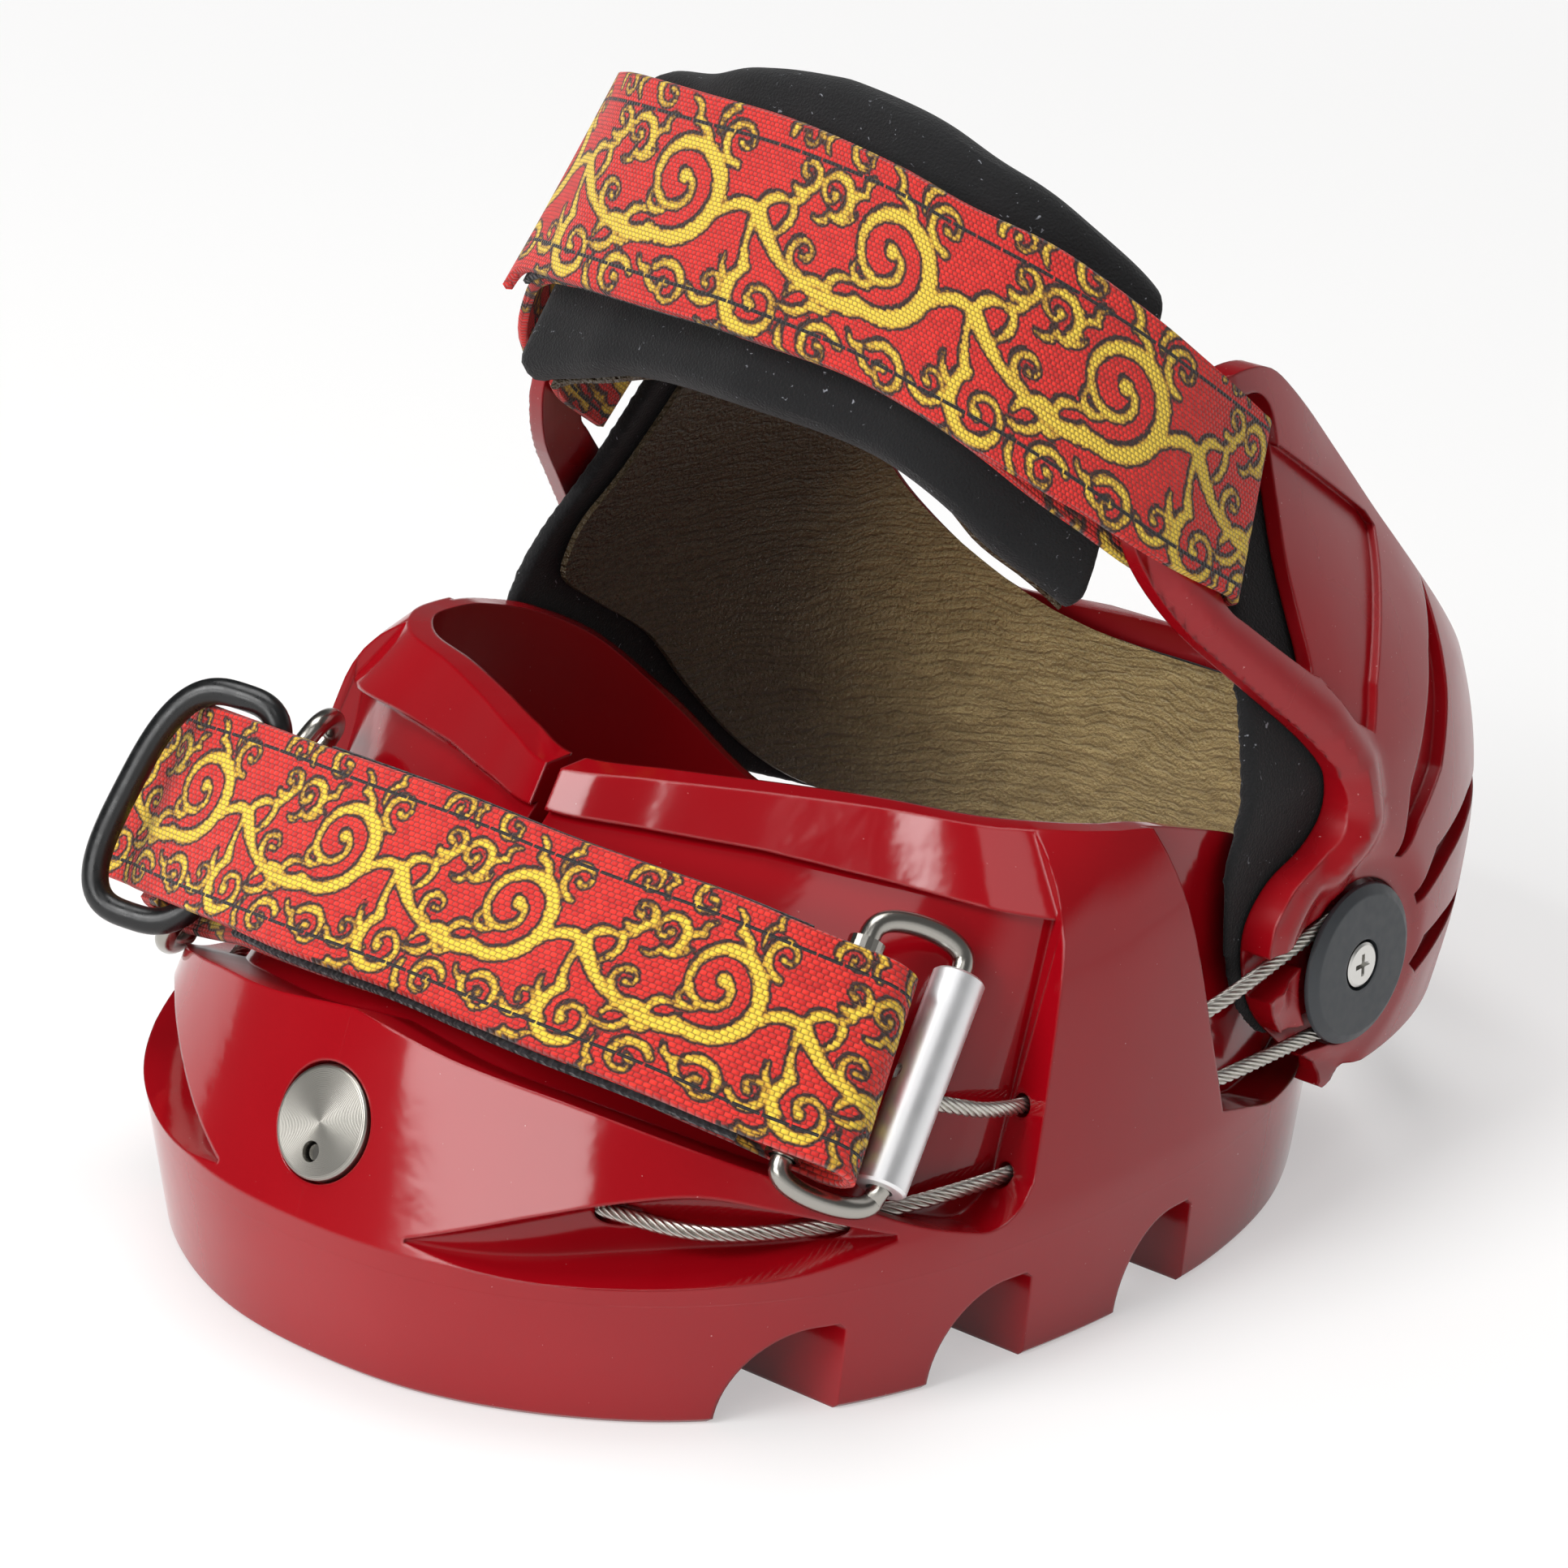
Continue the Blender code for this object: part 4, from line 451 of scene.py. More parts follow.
# Toe lock: a turned stainless barrel on a slanted axis, pressed into the bumper, with a set screw.
# Its face is faced on a lathe, so that fine rings spread the light in a bright fan.
LOCK_FACE = Vector((0, -0.0722, 0.0283))
LOCK_INWARD = Vector((0, 0.891, -0.454)).normalized()
turned_steel, tree, shader = new_finish("turned_stainless_steel", Base_Color=colour("#A3A099"), Metallic=1.0,
                                        Roughness=0.36)
where = put(tree, "TexCoord").outputs["Object"]
offset = put(tree, "VectorMath", [where, tuple(LOCK_FACE)], operation="SUBTRACT")
beside = put(tree, "VectorMath", [offset, tuple(LOCK_INWARD)], operation="CROSS_PRODUCT")
radius = put(tree, "VectorMath", [beside], operation="LENGTH")
turns = put(tree, "Math", [radius, 2 * math.pi / 0.00016], operation="MULTIPLY")
groove = put(tree, "Math", [turns], operation="SINE")
bump = put(tree, "Bump", {"Strength": 0.35, "Distance": 0.00003, "Height": groove})
feed(shader, {"Normal": bump})


def turned(name, origin, axis, profile, sides, finish=None):
    """A turned solid: profile holds (distance along the axis, radius), from end to end."""
    axis = Vector(axis).normalized()
    aside = axis.orthogonal().normalized()
    over = axis.cross(aside)
    sections = []
    for along, radius in profile:
        centre = Vector(origin) + axis * along
        turns = [2 * math.pi * i / sides for i in range(sides)]
        sections.append([centre + radius * (math.cos(t) * aside + math.sin(t) * over) for t in turns])
    return loft(name, sections, finish)


def drill(piece, origin, axis, radius, start, end, sides=32):
    """Cuts a plain round hole along the axis out of the piece."""
    cut(piece, turned("hole", origin, axis, ((start, radius), (end, radius)), sides))


seat = turned("seat", LOCK_FACE, LOCK_INWARD, (
    (-0.006, 0.0068), (0.0027, 0.0068), (0.0027, 0.0048), (0.0108, 0.0048)), 64)
cut(shell, seat)
lock = turned("lock_disc", LOCK_FACE, LOCK_INWARD, (
    (0, 0.0059), (0.00008, 0.0062), (0.00025, 0.0064), (0.0005, 0.0065), (0.0024, 0.0065), (0.0024, 0.0045),
    (0.0100, 0.0045), (0.0105, 0.0040)), 96, turned_steel)
lock_down = Vector((0, LOCK_INWARD.z, -LOCK_INWARD.y))
drill(lock, LOCK_FACE + lock_down * 0.0034, LOCK_INWARD, 0.0012, -0.006, 0.0042)
clamp_place = LOCK_FACE + LOCK_INWARD * 0.0065
drill(lock, clamp_place - Vector((0.02, 0, 0)), (1, 0, 0), 0.0016, 0, 0.04, 20)
even_normals(lock)
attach(lock, "shell")
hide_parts("cable_lock_barrel")

# Cables: 2 mm stainless rope with seven grooves between its strands, in moulded tunnels and round the pulleys.
# They pull the heel piece towards the strap, so they lie taut and slightly dull.
CABLE_START = [(x, clamp_place.y, clamp_place.z) for x in (0.0014, 0.0055)] + metres(
    (14, -64.2, 24.6), (22, -60.8, 23.8), (31.7, -58.5, 22.6), (40.2, -53.6, 21.2), (47.1, -44, 20.5),
    (50.7, -37, 21.2), (53.5, -30, 21.5), (55.2, -20, 21.2), (57, -8, 21.7), (58.7, 5, 22.6), (60.1, 16, 23))
CABLE_END = metres(
    (60, 13, 33), (58.2, 3, 30.9), (56.6, -7, 29), (55.2, -16.5, 28.5), (55.6, -24.5, 30.5), (54.7, -29.2, 32.3),
    (52.6, -33.6, 34.1))
PIVOT = Vector((0, 0.034, 0.0305))
SIDES = ((1, "right"), (-1, "left"))


def wire(name, points, radius, sides, finish=None, closed_run=False, flutes=0, lay_length=0.0):
    """A round wire along points; with flutes, a rope whose strands wind round in each lay length."""
    points = [Vector(p) for p in points]
    count = len(points)
    sections, aside, run = [], None, 0.0
    for i, point in enumerate(points):
        behind = points[(i - 1) % count] if closed_run or i > 0 else point
        ahead = points[(i + 1) % count] if closed_run or i < count - 1 else point
        along = (ahead - behind).normalized()
        aside = aside or along.orthogonal()
        aside = (aside - along * aside.dot(along)).normalized()
        over = along.cross(aside)
        run += (point - points[i - 1]).length if i else 0.0
        section = []
        for j in range(sides):
            turn = 2 * math.pi * j / sides
            reach = radius
            if flutes:
                phase = math.pi * (j * flutes / sides % 1.0 - 0.5)
                reach = radius * (0.74 + 0.26 * math.cos(phase))
                turn += 2 * math.pi * run / lay_length
            section.append(point + reach * (math.cos(turn) * aside + math.sin(turn) * over))
        sections.append(section)
    return loft(name, sections, finish, closed_run, sharp_angle=60 if not flutes else 50)


def grained(name, tones, scale, detail, roughness=None, relief=None, **sockets):
    """A finish in one or two tones with a fine grain, which can lead its roughness and its relief."""
    finish, tree, shader = new_finish(name, Base_Color=colour(tones[0]), **sockets)
    where = put(tree, "TexCoord").outputs["Object"]
    grain = put(tree, "TexNoise", {"Vector": where, "Scale": scale, "Detail": detail})
    if len(tones) > 1:
        tone = put(tree, "Mix", {0: grain, 6: colour(tones[0]), 7: colour(tones[1])}, data_type="RGBA")
        feed(shader, {"Base Color": tone})
    if roughness:
        feed(shader, {"Roughness": put(tree, "MapRange", [grain, 0.3, 0.7, *roughness])})
    if relief:
        bump = put(tree, "Bump", {"Strength": relief, "Distance": 0.0001, "Height": grain})
        feed(shader, {"Normal": bump})
    return finish


rope_steel = grained("stranded_steel_rope", ("#A8A59E", "#DEDBD3"), 1500.0, 2.0, Metallic=1.0, Roughness=0.36)
for side, word in SIDES:
    route = list(CABLE_START)
    for step in range(9):
        turn = math.radians(-85 + 188 * step / 8)
        route.append((0.0611, PIVOT.y + 0.0072 * math.cos(turn), PIVOT.z + 0.0072 * math.sin(turn)))
    route += CABLE_END
    run = [(x * side, y, z) for x, y, z in curve_run(route, 22)]
    rope = wire("cable_rope_" + word, run, 0.00092, 42, rope_steel, flutes=7, lay_length=0.0078)
    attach(rope, "shell")
    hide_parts("cable_" + word)
    for part_route in (CABLE_START, CABLE_END):
        tunnel = [(x * side, y, z) for x, y, z in curve_run(part_route, 5)]
        cut(shell, wire("tunnel", tunnel, 0.00135, 16))
even_normals(shell)
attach(shell, "shell")
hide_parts("boot_shell")

# Buckles: a polished aluminium tube grips each cable's end and carries a bail of 2.5 mm stainless wire.
# A small set screw in the tube's side pinches the cable.
TUBE_TOP, TUBE_BOTTOM = Vector((0.0497, -0.0229, 0.0442)), Vector((0.0541, -0.0414, 0.0265))
BAR_TOP, BAR_BOTTOM = Vector((0.04355, -0.0313, 0.0493)), Vector((0.0473, -0.0494, 0.0310))
aluminium = grained("polished_aluminium", ("#F0F0F1",), 420.0, 5.0, (0.34, 0.44), 0.05, Metallic=0.82)
drawn_wire = grained("drawn_stainless_wire", ("#A9A69F",), 700.0, 3.0, None, 0.1, Metallic=1.0, Roughness=0.26)
tube_axis = TUBE_BOTTOM - TUBE_TOP
span = BAR_TOP - TUBE_TOP
screw_out = (span - tube_axis * span.dot(tube_axis) / tube_axis.length_squared).normalized()
for side, word in SIDES:
    flip = Vector((side, 1, 1))
    top, bottom = TUBE_TOP * flip, TUBE_BOTTOM * flip
    length = (bottom - top).length
    tube = turned("grip_tube_" + word, top, bottom - top, (
        (0, 0.0023), (0.0001, 0.0027), (0.0004, 0.0030), (length - 0.0004, 0.0030), (length - 0.0001, 0.0027),
        (length, 0.0023)), 64, aluminium)
    drill(tube, top, bottom - top, 0.00155, -0.006, length + 0.006)
    cable_end, before = Vector(CABLE_END[-1]) * flip, Vector(CABLE_END[-2]) * flip
    drill(tube, cable_end, before - cable_end, 0.0016, -0.0003, 0.02, 20)
    drill(tube, (top + bottom) / 2, screw_out * flip, 0.0009, 0, 0.009, 24)
    even_normals(tube)
    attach(tube, "shell")
    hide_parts("cable_tube_" + word)
    along = tube_axis.normalized()
    route = []
    for start, end, swing, reach in ((TUBE_BOTTOM, TUBE_TOP, span, -0.0038), (BAR_TOP, BAR_BOTTOM, -span, 0.0031)):
        route += [start.lerp(end, i / 8) for i in range(9)]
        for step in range(1, 24):
            turn = math.pi * step / 24
            route.append(end + swing * (1 - math.cos(turn)) / 2 + along * reach * math.sin(turn) ** 0.6)
    bail = wire("bail_wire_" + word, [p * flip for p in route], 0.00125, 24, drawn_wire, closed_run=True)
    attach(bail, "shell")
    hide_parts("bail_" + word)
for node in ("buckle_roller", "cable_lock_screw", "tube_screw_right", "tube_screw_left",
             "pivot_insert_right", "pivot_insert_left"):
    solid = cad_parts[node]
    solid.data.materials.clear()
    solid.data.materials.append(drawn_wire)

# Captivator: the heel piece, moulded in the same red polyurethane but duller, with trimmed gates.
# A raised rounded bar runs along each arm's front edge, and long slots are sunk into its flanks.
CAPTIVATOR_PLAN = metres(
    (8.5, 60.3, 58.5), (14, 61, 60.5), (20, 62.2, 62.8), (25, 63, 65), (30, 63.4, 66.7), (35, 63.6, 68),
    (40, 63.5, 68.4), (45, 63.2, 68), (50, 62.5, 67), (55, 61.3, 65.5), (60, 59.2, 63), (65, 56.5, 60),
    (70, 53.8, 56.6), (75, 51.2, 53), (80, 48.9, 49.9), (85, 47, 47), (90, 45.6, 44.4), (95, 44.5, 42),
    (100, 43.7, 40.3), (105, 43, 39))
CAPTIVATOR_SIDE = metres(
    (34.5, 16.8), (29, 19), (23.5, 23.5), (19, 28.5), (17, 34.5), (17.5, 39.5), (21.5, 43.5), (27.5, 45.8),
    (31.2, 49), (31.5, 53.5), (28.5, 58.5), (22.2, 65.5), (15.5, 73), (11.8, 79.5), (10.8, 84.5), (12, 87.8),
    (15, 91), (19, 94), (23.5, 96.6), (28.5, 98.2), (33.5, 98.6), (38.8, 97.3), (44, 93.4), (50.8, 86.8),
    (57.6, 79), (64, 70.2), (70.8, 60.6), (79, 49), (86.8, 38.8), (94, 33.5), (101, 32), (101, 16.5), (90, 16.5),
    (75, 16.5), (60, 16.6), (48, 16.7), (40, 16.7))
WINDOW_SIDE = metres(
    (20.6, 75.5), (23.4, 72.6), (28.5, 67.8), (32, 65), (33, 66.2), (33.8, 70), (35, 76), (36.6, 82), (37.6, 87.5),
    (38, 91.2), (37.4, 93.6), (35.5, 95.3), (33, 95.8), (30.5, 95.2), (24.5, 86.2), (20.7, 79))
PANEL_SIDE = metres(
    (32.2, 65.2), (35, 59.7), (38.5, 57.2), (42.1, 61.5), (49.6, 67.6), (57.7, 73.8), (56.5, 75.7), (38, 88.8),
    (35.2, 86), (33.5, 74))
SLOTS = (
    metres((41, 41.6), (42.2, 41.2), (46, 44.4), (53.2, 48.3), (58.6, 54.3), (62.5, 59), (67, 64.8), (57.6, 60.4),
           (50.6, 55.1), (44.2, 49.2)),
    metres((45.8, 35.2), (46.4, 33.8), (55.6, 36.2), (65, 37.5), (78, 38), (78, 40.5), (64, 41.2), (51, 39.4)),
    metres((45.8, 26.2), (47.5, 24.5), (56, 25.8), (64, 26.6), (64, 28.4), (55, 29), (49, 28.8)))
BAR_LINE = metres(
    (15, 85), (16.5, 79), (20, 72.8), (26.2, 66.2), (31.8, 60.3), (34.6, 54.8), (34.4, 49), (30, 43))
EAR_TOP, EAR_FLAT = 0.056, 0.012


def plan_run(width, reach, side_steps, round_steps):
    """The right half of a plan curve, from the arm's front edge to the heel's centre."""
    run = [(width, 0.004 + 0.026 * step / side_steps) for step in range(side_steps)]
    for step in range(round_steps + 1):
        turn = math.pi / 2 * step / round_steps
        run.append((width * math.cos(turn) ** (2 / 2.1), 0.030 + reach * math.sin(turn) ** (2 / 2.1)))
    return run


def line_distance(y, z, line):
    """How far a place in the side view lies from a line of straight pieces."""
    nearest = 1.0
    for (ay, az), (by, bz) in zip(line, line[1:]):
        length = (by - ay) ** 2 + (bz - az) ** 2
        t = min(max(((y - ay) * (by - ay) + (z - az) * (bz - az)) / length, 0.0), 1.0)
        nearest = min(nearest, math.hypot(y - ay - t * (by - ay), z - az - t * (bz - az)))
    return nearest


def eased(value, low, high):
    t = min(max((value - low) / (high - low), 0.0), 1.0)
    return t * t * (3 - 2 * t)


def lower_of(a, b, blend):
    """The lower of two lengths, with the corner between them rounded."""
    near = max(blend - abs(a - b), 0.0) / blend
    return min(a, b) - near * near * blend / 4


def flank_relief(y, z):
    """How far the outside of the heel piece stands proud of its plain surface, at a place in the side view."""
    bar_rise = 0.0013 * max(1 - (line_distance(y, z, BAR_LINE) / 0.0034) ** 2, 0.0)
    return bar_rise - 0.0013 * (1 - eased(line_distance(y, z, CAPTIVATOR_SIDE[:20]), 0.0, 0.0024))


def heel_layer(name, insets, ears, height_step, steps, finish=None, relief=None):
    """A U-shaped layer between two insets from the heel piece's outside; ears holds its two faces' places
    and slopes beside the pulleys."""
    low, high = 0.0085, 0.105
    rows = int((high - low) / height_step)
    sections = []
    for row in range(rows + 1):
        height = low + (high - low) * row / rows
        place = 0
        while place < len(CAPTIVATOR_PLAN) - 2 and CAPTIVATOR_PLAN[place + 1][0] <= height:
            place += 1
        here, after = CAPTIVATOR_PLAN[place][0], CAPTIVATOR_PLAN[place + 1][0]
        _, width, reach = curve_point(CAPTIVATOR_PLAN, place + (height - here) / (after - here))
        walls = []
        for inset, (ear, slope) in zip(insets, ears):
            wall = []
            for x, y in plan_run(width - inset, reach - inset, *steps):
                if height < EAR_TOP:
                    away = math.hypot(y - PIVOT.y, height - PIVOT.z)
                    x = lower_of(x, ear + max(0.0, away - EAR_FLAT) * slope, 0.0012 if slope else 0.00001)
                if relief and not walls and x > 0.012:
                    x += relief(y, height)
                wall.append((x, y))
            walls.append(wall)
        outside, inside = walls
        ring = [(x, y, height) for x, y in outside]
        ring += [(-x, y, height) for x, y in reversed(outside[:-1])]
        ring += [(-x, y, height) for x, y in inside[:-1]]
        ring += [(x, y, height) for x, y in reversed(inside)]
        sections.append(ring)
    return loft(name, sections, finish)


def rounded(outline, steps_each):
    """A smooth closed outline through the points."""
    looped = list(outline[-2:]) + list(outline) + list(outline[:3])
    return [tuple(curve_point(looped, 2 + i / steps_each)) for i in range(len(outline) * steps_each)]


red_heel = polyurethane("trimmed_red_polyurethane", 0.22, 0.34, 0.03)[0]
heel_piece = heel_layer("heel_moulding", (0.0, 0.0034), ((0.0614, 0.5), (0.0581, 0.0)), 0.0007, (26, 90),
                        red_heel, flank_relief)
cut(heel_piece, bar("side", rounded(CAPTIVATOR_SIDE[:30], 4)[:117] + list(CAPTIVATOR_SIDE[30:]), -0.08, 0.08),
    "INTERSECT")
cut(heel_piece, bar("window", rounded(WINDOW_SIDE, 4), -0.08, 0.08))
drill(heel_piece, (-0.08, PIVOT.y, PIVOT.z), (1, 0, 0), 0.0033, 0, 0.16)
for depth, outline in ((0.0012, PANEL_SIDE), (0.0018, SLOTS[0]), (0.0018, SLOTS[1]), (0.0016, SLOTS[2])):
    recess = heel_layer("recess", (-0.004, depth), ((0.0654, 0.5), (0.0614 - depth, 0.5)), 0.0024, (12, 44))
    cut(recess, bar("recess_side", outline, -0.08, 0.08), "INTERSECT")
    cut(heel_piece, recess)
# The cable channels flare, so that the cables stay clear of them over the heel piece's whole swing.
CHANNEL_RUNS = (((0.0130, 0.0330), (0.0325, 0.0376)), ((0.0160, 0.0230), (0.0346, 0.0233)))
CHANNEL_SWINGS = (math.radians(-4.5), math.radians(7.5))


def about_pivot(place, swing):
    """A side-view place turned about the pivot's axis."""
    y, z = place[0] - PIVOT.y, place[1] - PIVOT.z
    return (PIVOT.y + y * math.cos(swing) - z * math.sin(swing), PIVOT.z + y * math.sin(swing) + z * math.cos(swing))


for side in (1, -1):
    drill(heel_piece, (side * 0.0592, PIVOT.y, PIVOT.z), (side, 0, 0), 0.0101, 0, 0.02, 96)
    for start, end in CHANNEL_RUNS:
        length = math.hypot(end[0] - start[0], end[1] - start[1])
        ahead = ((end[0] - start[0]) / length, (end[1] - start[1]) / length)
        back = (start[0] - ahead[0] * 0.008, start[1] - ahead[1] * 0.008)
        corners = [about_pivot((place[0] - ahead[1] * beside, place[1] + ahead[0] * beside), swing)
                   for place in (end, back) for beside in (0.0014, -0.0014) for swing in CHANNEL_SWINGS]
        channel = [corners[i] for i in convex_hull_2d(corners)]
        cut(heel_piece, bar("channel", channel, side * 0.0585, side * 0.0806))
even_normals(heel_piece)
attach(heel_piece, "heel_piece")
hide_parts("captivator")

# Pulleys: turned discs of slate grey nylon on countersunk cross-head screws with a zinc finish.
# The disc's rim is chamfered, and the screw head sits flush in its middle.
nylon = grained("turned_grey_nylon", ("#2C3034", "#3B4045"), 900.0, 3.0, (0.38, 0.55), 0.12, IOR=1.53)
zinc = grained("bright_zinc_screw", ("#D6D5D1",), 1200.0, 4.0, None, 0.2, Metallic=1.0, Roughness=0.30)
for side, word in SIDES:
    pulley = turned("pulley_disc_" + word, PIVOT, (side, 0, 0), (
        (0.0595, 0.0059), (0.0616, 0.0059), (0.0617, 0.0095), (0.0619, 0.0097), (0.0622, 0.0097),
        (0.0624, 0.0096), (0.0630, 0.0086), (0.0631, 0.0083), (0.0631, 0.0035), (0.0630, 0.0031),
        (0.0618, 0.0030)), 96, nylon)
    cut(pulley, turned("seat", PIVOT, (side, 0, 0), ((0.05, 0.0018), (0.0615, 0.0018), (0.0615, 0.0030),
                                                     (0.08, 0.0030)), 48))
    even_normals(pulley)
    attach(pulley, "pulley_" + word)
    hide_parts("pulley_" + word)
    screw = turned("cross_screw_" + word, PIVOT, (side, 0, 0), (
        (0.0575, 0.0014), (0.0618, 0.0014), (0.0619, 0.0026), (0.0629, 0.0027), (0.0631, 0.0024)), 64, zinc)
    for wide, tall in ((0.00032, 0.0015), (0.0015, 0.00032)):
        arm = [(PIVOT.y - wide, PIVOT.z - tall), (PIVOT.y + wide, PIVOT.z - tall),
               (PIVOT.y + wide, PIVOT.z + tall), (PIVOT.y - wide, PIVOT.z + tall)]
        small = [((y - PIVOT.y) * 0.5 + PIVOT.y, (z - PIVOT.z) * 0.5 + PIVOT.z) for y, z in arm]
        cut(screw, loft("recess", [[(side * 0.0621, y, z) for y, z in small],
                                   [(side * 0.0633, y, z) for y, z in arm]]))
    even_normals(screw)
    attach(screw, "heel_piece")
    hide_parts("pivot_screw_" + word)

# Heel pad: 2 mm neoprene foam with a knitted black face, glued inside the heel piece.
# Its cut edges are soft and slightly ragged, and lint clings to it.
HEEL_PAD_SIDE = metres(
    (24.5, 23.2), (20, 26.2), (16.5, 30), (14.8, 35.5), (14.2, 41), (15, 47), (18.5, 53), (21.5, 60), (24.5, 66),
    (27, 74), (30, 82), (33.5, 89), (37.5, 91.5), (42, 90), (48.8, 84), (56, 76), (63, 67), (70, 57.5), (79, 46),
    (87, 36.5), (95, 32), (101, 31), (101, 10), (78, 10), (68, 11.8), (60, 15), (52, 18), (40, 20.5))
neoprene, tree, shader = new_finish("knitted_neoprene", Roughness=0.92, Sheen_Weight=0.10, Sheen_Roughness=0.5)
where = put(tree, "TexCoord").outputs["Object"]
knit = put(tree, "TexNoise", {"Vector": where, "Scale": 3200.0, "Detail": 3.0})
lint = put(tree, "TexNoise", {"Vector": where, "Scale": 1100.0, "Detail": 1.0, "Distortion": 1.5})
specks = put(tree, "MapRange", [lint, 0.74, 0.80])
tone = put(tree, "Mix", {0: knit, 6: colour("#040405"), 7: colour("#0E0F12")}, data_type="RGBA")
top = put(tree, "Mix", {0: specks, 6: tone, 7: colour("#8C8F96")}, data_type="RGBA")
bump = put(tree, "Bump", {"Strength": 0.7, "Distance": 0.0003, "Height": knit})
feed(shader, {"Base Color": top, "Normal": bump})
heel_foam = heel_layer("heel_foam", (0.0042, 0.0065), ((0.0576, 0.0), (0.0568, 0.0)), 0.0012, (14, 50), neoprene)
cut(heel_foam, bar("side", rounded(HEEL_PAD_SIDE, 4), -0.08, 0.08), "INTERSECT")
drill(heel_foam, (-0.08, PIVOT.y, PIVOT.z), (1, 0, 0), 0.0040, 0, 0.16)
shape(heel_foam, "REMESH", mode="VOXEL", voxel_size=0.0007)
shape(heel_foam, "SMOOTH", factor=0.5, iterations=5)
heel_foam.data.shade_smooth()
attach(heel_foam, "heel_piece")
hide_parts("heel_pad")

# Heel lining: thin olive tan leather stretched over the foam, where it creases in fine lines.
# It is glued down and glossy; painted highlight brightens its colour in the middle of the heel, and painted shade
# darkens it towards the front.
LINING_SIDE = metres(
    (24.2, 56), (24.5, 51.5), (31, 46.5), (40.5, 39.5), (46.5, 31), (53.5, 21.5), (60, 15.5), (68, 12.5),
    (78, 10.7), (101, 10.7), (101, 30.5), (95, 31.5), (87, 36), (79, 45.5), (70, 57), (63, 66.5), (56, 75.5),
    (48.8, 83.5), (42, 88.5), (38, 88.5), (35, 84), (31.8, 75), (28.5, 66), (25.2, 60))
leather, tree, shader = new_finish("creased_tan_leather", IOR=1.5, Roughness=0.36)
where = put(tree, "TexCoord").outputs["Object"]
stretch = put(tree, "Mapping", {"Vector": where, "Scale": (1.0, 1.0, 4.0)})
crease = put(tree, "TexNoise", {"Vector": stretch, "Scale": 170.0, "Detail": 5.0, "Distortion": 0.8})
pores = put(tree, "TexNoise", {"Vector": where, "Scale": 2200.0, "Detail": 2.0})
tone = put(tree, "Mix", {0: crease, 6: colour("#735D36"), 7: colour("#DEC588")}, data_type="RGBA")
apart = put(tree, "SeparateXYZ", [where])
# Painted highlight and shade: full colour at the back of the heel, darker towards the front of its sides.
painted_highlight = put(tree, "MapRange", [apart.outputs[1], 0.058, 0.086, 0.10, 1.0], interpolation_type="SMOOTHSTEP")
painted_light_tone = put(tree, "Mix", {0: painted_highlight, 6: colour("#3C3024"), 7: tone}, data_type="RGBA")
# Painted shade: the crease lines darken the colour as well as shaping the relief.
folds = put(tree, "TexWave", {"Vector": where, "Scale": 250.0, "Distortion": 16.0, "Detail": 3.0,
                              "Detail Scale": 0.35}, bands_direction="Z")
fold = put(tree, "MapRange", [folds.outputs["Fac"], 0.0, 0.30, 0.80, 1.0])
tone_with_painted_light = put(tree, "Mix", {0: 1.0, 6: painted_light_tone, 7: fold}, data_type="RGBA", blend_type="MULTIPLY")
rough = put(tree, "Math", [crease, pores], operation="ADD")
both = put(tree, "Math", [fold, 0.9, rough], operation="MULTIPLY_ADD")
bump = put(tree, "Bump", {"Strength": 0.8, "Distance": 0.0012, "Height": both})
feed(shader, {"Base Color": tone_with_painted_light, "Normal": bump})
lining = heel_layer("heel_leather", (0.0073, 0.0082), ((0.0578, 0.0), (0.0578, 0.0)), 0.0010, (20, 80), leather)
cut(lining, bar("side", rounded(LINING_SIDE, 4), -0.08, 0.08), "INTERSECT")
even_normals(lining)
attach(lining, "heel_piece")
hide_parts("heel_pad_lining")

# Toe strap: 25 mm ribbed polyester webbing, dyed red and printed with a gold scroll, stitched along both edges.
# It is sewn to the left bail, runs round the right roller and comes back to the pull ring.
TOE_UPPER_EDGE = metres(
    (-56.36, -38.98, 54.16), (-51.37, -39.91, 54.72), (-47.5, -41.5, 55.6), (-37, -42.3, 56), (-28, -43.1, 56.4),
    (-17.5, -43.4, 56.7), (-7, -43.4, 56.7), (0, -43.2, 56.4), (10, -42.9, 55.9), (20.4, -41.8, 55.3),
    (30.9, -39.4, 54), (40.6, -37.2, 52.1), (47.7, -33.1, 49.4))
TOE_LOWER_EDGE = metres(
    (-59.68, -48.84, 32.85), (-55.37, -49.61, 33.32), (-51.5, -51.2, 34.2), (-39, -55.5, 36.8),
    (-29.5, -57.9, 38.3), (-18.5, -59.9, 39.2), (-7.5, -60.3, 39.7), (0, -60.4, 39.9), (9.5, -60.6, 39.7),
    (20.5, -60.2, 39.2), (32.3, -57.3, 37.3), (43.8, -53.1, 34.3), (52.7, -49.4, 31.8))
WEBBING = 0.0013
PLAIN_STEPS = 5
TILE_STEP = 0.15
TILE = 27.0


